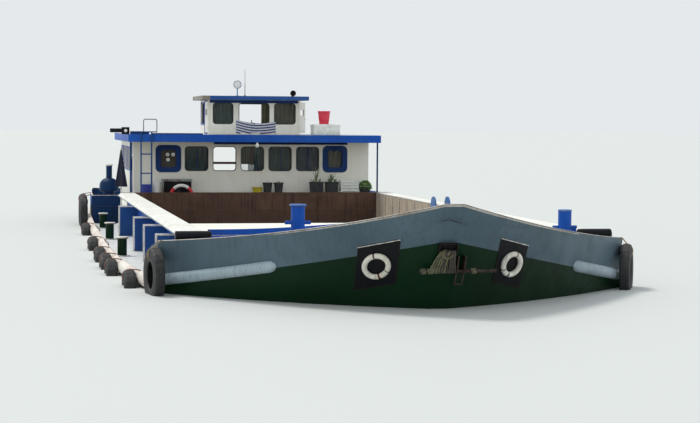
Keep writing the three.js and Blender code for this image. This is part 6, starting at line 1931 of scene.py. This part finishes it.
# %% Pots, boxes and soil
POTS, PLANTERS = [(0.24, 0.3, 0.3), (0.57, 0.3, 0.3)], [(1.64, 0.42, 0.32), (2.11, 0.4, 0.32)]
TRAY = (3.15, 0.32, 0.17)
BOX_X = narrowed(BENCH.x, 0.06)
BOX_MIDDLE = sum(BOX_X) / 2
POT_RIM = [(0.135, -0.045), (0.146, -0.043), (0.149, -0.003), (0.145, 0.0), (0.136, -0.002), (0.133, -0.04),
           (AXIS, -0.041)]


def planter_box(y, wide, high):
    z0, z1 = BENCH.top, BENCH.top + high
    rim = min(0.035, high * 0.2)
    levels = [(0.035, z0 + 0.001), (0.03, z0 + 0.006), (0.012, z1 - rim), (0.002, z1 - rim + 0.002),
              (0.0, z1 - 0.003), (0.004, z1), (0.016, z1 - 0.001), (0.02, z1 - rim - 0.01)]
    return skin([flat_loop(BOX_X, (y, y + wide), inset, 0.03, z) for inset, z in levels], "rod")


def heap(y, wide, high):
    """Soil that fills a box to below its rim, a little higher in the middle."""
    middle, half, rows = y + wide / 2, wide / 2 - 0.018, []
    for a in spread(-1, 1, 14):
        row = []
        for b in spread(-1, 1, 14):
            rise = 0.016 * (1 - a * a) * (1 - b * b) + 0.008 * noise.noise(Vector((a * 4, b * 4, middle * 9)))
            row.append(Vector((BOX_MIDDLE + a * 0.132, middle + b * half, BENCH.top + high - 0.03 + rise)))
        rows.append(row)
    return skin(rows)


boxes = [planter_box(*box) for box in PLANTERS + [TRAY]]
soil = [heap(*box) for box in PLANTERS + [TRAY]]
for y, wide, high in POTS:
    at = (BOX_MIDDLE, y + wide / 2, BENCH.top + high)
    pot = [(AXIS, 0.001 - high), (0.105, 0.001 - high), (0.11, 0.006 - high), *POT_RIM]
    boxes.append(turned(pot, at, sides=44))
    soil.append(turned([(0.134, -0.04), (0.1, -0.03), (0.05, -0.024), (AXIS, -0.022)], at, sides=44))
piece("planter_boxes", boxes, SOIL_BOX)
piece("potting_soil", soil, EARTH)
print("pots:", len(POTS), "planter boxes:", len(PLANTERS) + 1)

# %% Crate
CRATE_Y, CRATE_TOP = (2.56, 3.1), BENCH.top + 0.37
low = BENCH.top + 0.001
crate = [boxed(BOX_X, CRATE_Y, (low, low + 0.02))]
for z in spread(low + 0.05, CRATE_TOP - 0.06, 4):
    crate += four_bars(BOX_X, CRATE_Y, (z, z + 0.058), 0.014)
crate += four_posts(narrowed(BOX_X, 0.001), narrowed(CRATE_Y, 0.001), (low, CRATE_TOP), 0.03)
piece("slotted_crate", crate, WHITE_PLASTIC, edge=0.002)
print("slats and posts of the crate:", len(crate))

# %% [markdown]
# Plants: aloes in the boxes and a bushy herb in the tray. An aloe leaf is a thick blade that
# narrows to its tip and curls outward, so it is swept as a shrinking crescent along a bent line.
# Four tall sword leaves stand in the first box, and small green sprigs in the pots.

# %% Leaves
LEAF_ANGLE = math.radians(60)
plant_chance = random.Random(11)
aloes = []


def blade(root, heading, length, width, rise, curl):
    """An aloe leaf: a crescent section that shrinks along a line that bends outward."""
    out = Vector((math.cos(heading), math.sin(heading), 0))
    across = Vector((-out.y, out.x, 0))
    rows = []
    for t in spread(0, 1, 9):
        bend = curl * t * t
        centre = root + out * (length * (0.25 * t + bend)) + UP * (rise * length * (t - 0.35 * bend))
        half, thick = width / 2 * (1 - t) ** 0.7 + 0.0015, 0.01 * (1 - t) + 0.001
        rows.append([centre + across * half, centre + UP * (thick * 0.4) - out * thick * 0.3,
                     centre - across * half, centre - UP * thick + out * thick])
    return skin(rows, "rod")


def rosette(y, high, count, length, width, rise):
    """Leaves round one point, each turned by the golden angle from the last."""
    for k in range(count):
        root = Vector((BOX_MIDDLE + plant_chance.uniform(-0.015, 0.015), y, BENCH.top + high - 0.03))
        heading = k * 2.4 + plant_chance.uniform(-0.3, 0.3)
        aloes.append(blade(root, heading, plant_chance.uniform(*length), width, plant_chance.uniform(*rise),
                           plant_chance.uniform(0.1, 0.5)))


print("a leaf has", len(blade(UP, 0, 0.2, 0.03, 1, 0.3)[1]), "faces")

# %% Aloes
for y, wide, high in PLANTERS:
    for dy in (0.12, 0.3):
        rosette(y + dy, high, 11, (0.11, 0.18), 0.028, (0.5, 1.0))
for y, wide, high in POTS:
    rosette(y + wide / 2, high, 9, (0.05, 0.1), 0.03, (0.4, 0.9))
sword_root = Vector((BOX_MIDDLE, PLANTERS[0][0] + 0.2, BENCH.top + 0.29))
for heading, length in ((1.75, 0.62), (4.6, 0.7), (0.4, 0.5), (3.1, 0.45)):
    aloes.append(blade(sword_root, heading, length, 0.05, 1.05, 0.02))
rosette(PLANTERS[1][0] + 0.18, 0.32, 9, (0.26, 0.36), 0.045, (0.8, 1.1))
piece("aloes", aloes, ALOE, sharp=LEAF_ANGLE)
print("leaves of the aloes:", len(aloes))

# %% Herb in the tray
HERB_LEAVES = 420
herb = []
tray_y, tray_soil = TRAY[0] + TRAY[1] / 2, BENCH.top + TRAY[2] - 0.02
for _ in range(HERB_LEAVES):
    turn, out = plant_chance.uniform(0, math.tau), plant_chance.uniform(0.55, 1) ** 0.5
    c = plant_chance.uniform(-0.25, 1.0)
    swell = out * math.sqrt(max(0.05, 1 - c * c))
    at = Vector((BOX_MIDDLE + 0.17 * swell * math.cos(turn), tray_y + 0.2 * swell * math.sin(turn),
                 tray_soil + 0.2 * c))
    herb.append(blade(at, turn + plant_chance.uniform(-0.6, 0.6), plant_chance.uniform(0.05, 0.08), 0.034,
                      plant_chance.uniform(-0.2, 0.7), 0.4))
piece("herb_leaves", herb, BUSH, sharp=LEAF_ANGLE)
print("leaves of the herb:", len(herb))

# %% [markdown]
# The tank on the roof is a white moulded box with a stepped lid, and a red bucket stands on it.
# The bucket is a thin shell with a rolled rim and a wire bail, which lies down along its side.

# %% Tank
TANK = Sizes(x=(-8.72, -8.08), y=(1.79, 2.61), low=4.7003, high=5.02)


def soft_box(x, y, z, corner, lip):
    """A moulded box with rounded corners in plan and rounded upper and lower edges."""
    return skin([flat_loop(x, y, inset, corner, level) for inset, level in eased(*z, lip)], "rod")


tank = [soft_box(narrowed(TANK.x, 0.01), narrowed(TANK.y, 0.012), (TANK.low, TANK.high - 0.07), 0.05, 0.02),
        soft_box(TANK.x, TANK.y, (TANK.high - 0.085, TANK.high - 0.012), 0.06, 0.012),
        soft_box(narrowed(TANK.x, 0.05), narrowed(TANK.y, 0.05), (TANK.high - 0.02, TANK.high), 0.05, 0.008)]
ribs = [soft_box((TANK.x[1] - 0.03, TANK.x[1] - 0.003), (y - 0.02, y + 0.02),
                 (TANK.low + 0.03, TANK.high - 0.1), 0.008, 0.006) for y in spread(1.95, 2.45, 4)]
piece("tank_shell", tank + ribs, WHITE_PLASTIC, replaces="roof_tank")
print("tank ribs:", len(ribs))

# %% Bucket
BUCKET = Sizes(x=-8.4, y=2.16, z=TANK.high + 0.0003, low_r=0.14, high_r=0.182, high=0.39)
r0, r1, high = BUCKET.low_r, BUCKET.high_r, BUCKET.high
steps = ((0.3, 0.0), (0.31, 0.003), (0.62, 0.003), (0.63, 0.0))
wall = [(lerp(r0, r1, t) + out, high * t) for t, out in steps]
bucket = turned([(AXIS, 0.004), (r0 - 0.01, 0.004), (r0 - 0.008, 0.0), (r0 - 0.002, 0.0), (r0, 0.006), *wall,
                 (r1, high - 0.03), (r1 + 0.007, high - 0.028), (r1 + 0.0075, high - 0.004),
                 (r1 + 0.004, high), (r1 - 0.003, high), (r1 - 0.005, high - 0.006), (r0 - 0.004, 0.01),
                 (AXIS, 0.008)], (BUCKET.x, BUCKET.y, BUCKET.z), sides=48)
piece("bucket_shell", [bucket], RED_PLASTIC, replaces="bucket")
bail = [Vector((BUCKET.x + 0.178 * math.sin(t), BUCKET.y - 0.176 * math.cos(t), BUCKET.z + high - 0.016))
        for t in spread(0, math.pi, 26)]
piece("bucket_bail", [pipe(bail, 0.004, 8)], GALVANISED)
print("the bucket holds", round(math.pi * high * (r0 * r0 + r0 * r1 + r1 * r1) / 3 * 1000), "litres")

# %% [markdown]
# Last come the poop's white rail and a few things the crew has set down: a yellow basin on the
# bench, and a white pail and a blue tub beside the cupboard.

# %% Poop rail and small things
port_line = [Vector((x, half_breadth(x) - 0.02, POOP_RAIL_TOP + 0.004))
             for x in spread(-14.98, POOP_X - 0.02, 40)]
starboard_line = [Vector((x, -y, z)) for x, y, z in port_line]
rails = [swept(line, [(-0.026, -0.008), (0.026, -0.008), (0.026, 0.004), (0.018, 0.01), (-0.018, 0.01),
                      (-0.026, 0.004)]) for line in (port_line, starboard_line)]
cap_z = (POOP_RAIL_TOP - 0.002, POOP_RAIL_TOP + 0.012)
rails.append(boxed((-15.0, -14.955), (-4.38, 4.38), cap_z))
rails += [boxed((POOP_X - 0.045, POOP_X + 0.003), sideways(side, 3.782, 4.652), cap_z) for side in (-1, 1)]
piece("poop_rail", rails, WHITE, edge=0.002)


def open_tub(at, r, high):
    """A tall round tub with a rolled rim, drawn up outside and down inside."""
    rim = [(r, high - 0.03), (r + 0.008, high - 0.026), (r + 0.008, high - 0.004), (r, high),
           (r - 0.006, high - 0.006)]
    foot = [(AXIS, 0.0), (r * 0.86, 0.0), (r * 0.88, 0.006)]
    return turned([*foot, *rim, (r * 0.85, 0.02), (AXIS, 0.018)], at)


basin = turned([(AXIS, 0.004), (0.1, 0.004), (0.11, 0.0), (0.12, 0.004), (0.156, 0.15), (0.17, 0.152),
                (0.173, 0.157), (0.168, 0.161), (0.154, 0.158), (0.116, 0.012), (AXIS, 0.01)],
               (BOX_MIDDLE, 0.09, BENCH.top), sides=48)
piece("basin", [basin], YELLOW_PLASTIC)
piece("pail", [open_tub((-7.84, -2.86, AFT_DECK_Z), 0.115, 0.78)], WHITE_PLASTIC)
piece("tub", [open_tub((-7.8, -3.16, AFT_DECK_Z), 0.14, 0.7)], BLUE_PLASTIC)
print("parts of the poop rail:", len(rails))

# %% [markdown]
# The floor is the water's level, drawn as a plain pale surface with no waves. Its hole follows
# the hull where the boat floats: the hull's section at the waterline, drawn in by 10 mm, so that
# the floor meets the plating and never lies inside the hold, whose bottom is below the water.

# %% Floor at the waterline
FLOOR_REACH = 600
HOLE_INSET = 0.01
section = SIDE_HALVES[:-1] + [bow_point("water", u) for u in spread(1, 0, 40)]
hole = [(x, y - HOLE_INSET) for x, y in section]
hole[0] = (hole[0][0] + HOLE_INSET, hole[0][1])
outline = hole + [(x - HOLE_INSET, -y) for x, y in reversed(hole)]
middle = Vector((sum(x for x, _ in outline) / len(outline), 0, WATER_Z))
edge = [Vector((x, y, WATER_Z)) for x, y in outline]
points, faces = skin([edge, [at + (at - middle).normalized() * FLOOR_REACH for at in edge]], "tube")
floor_mesh = bpy.data.meshes.new("floor")
floor_mesh.from_pydata(points, [], faces)
plain = {"Base Color": linear("#c9cdcb"), "Roughness": 0.7}
floor_mesh.materials.append(shaded(begin("plain_floor")[0], plain))
floor = bpy.data.objects.new("floor", floor_mesh)
bpy.context.scene.collection.objects.link(floor)
print("floor at", WATER_Z, "m with a hole of", len(outline), "corners")

# %% [markdown]
# The script ends by printing how many pieces it has added and how many faces they have.

# %% Count of pieces
print("pieces", len(PIECES), "with", sum(len(made.data.polygons) for made in PIECES), "faces")
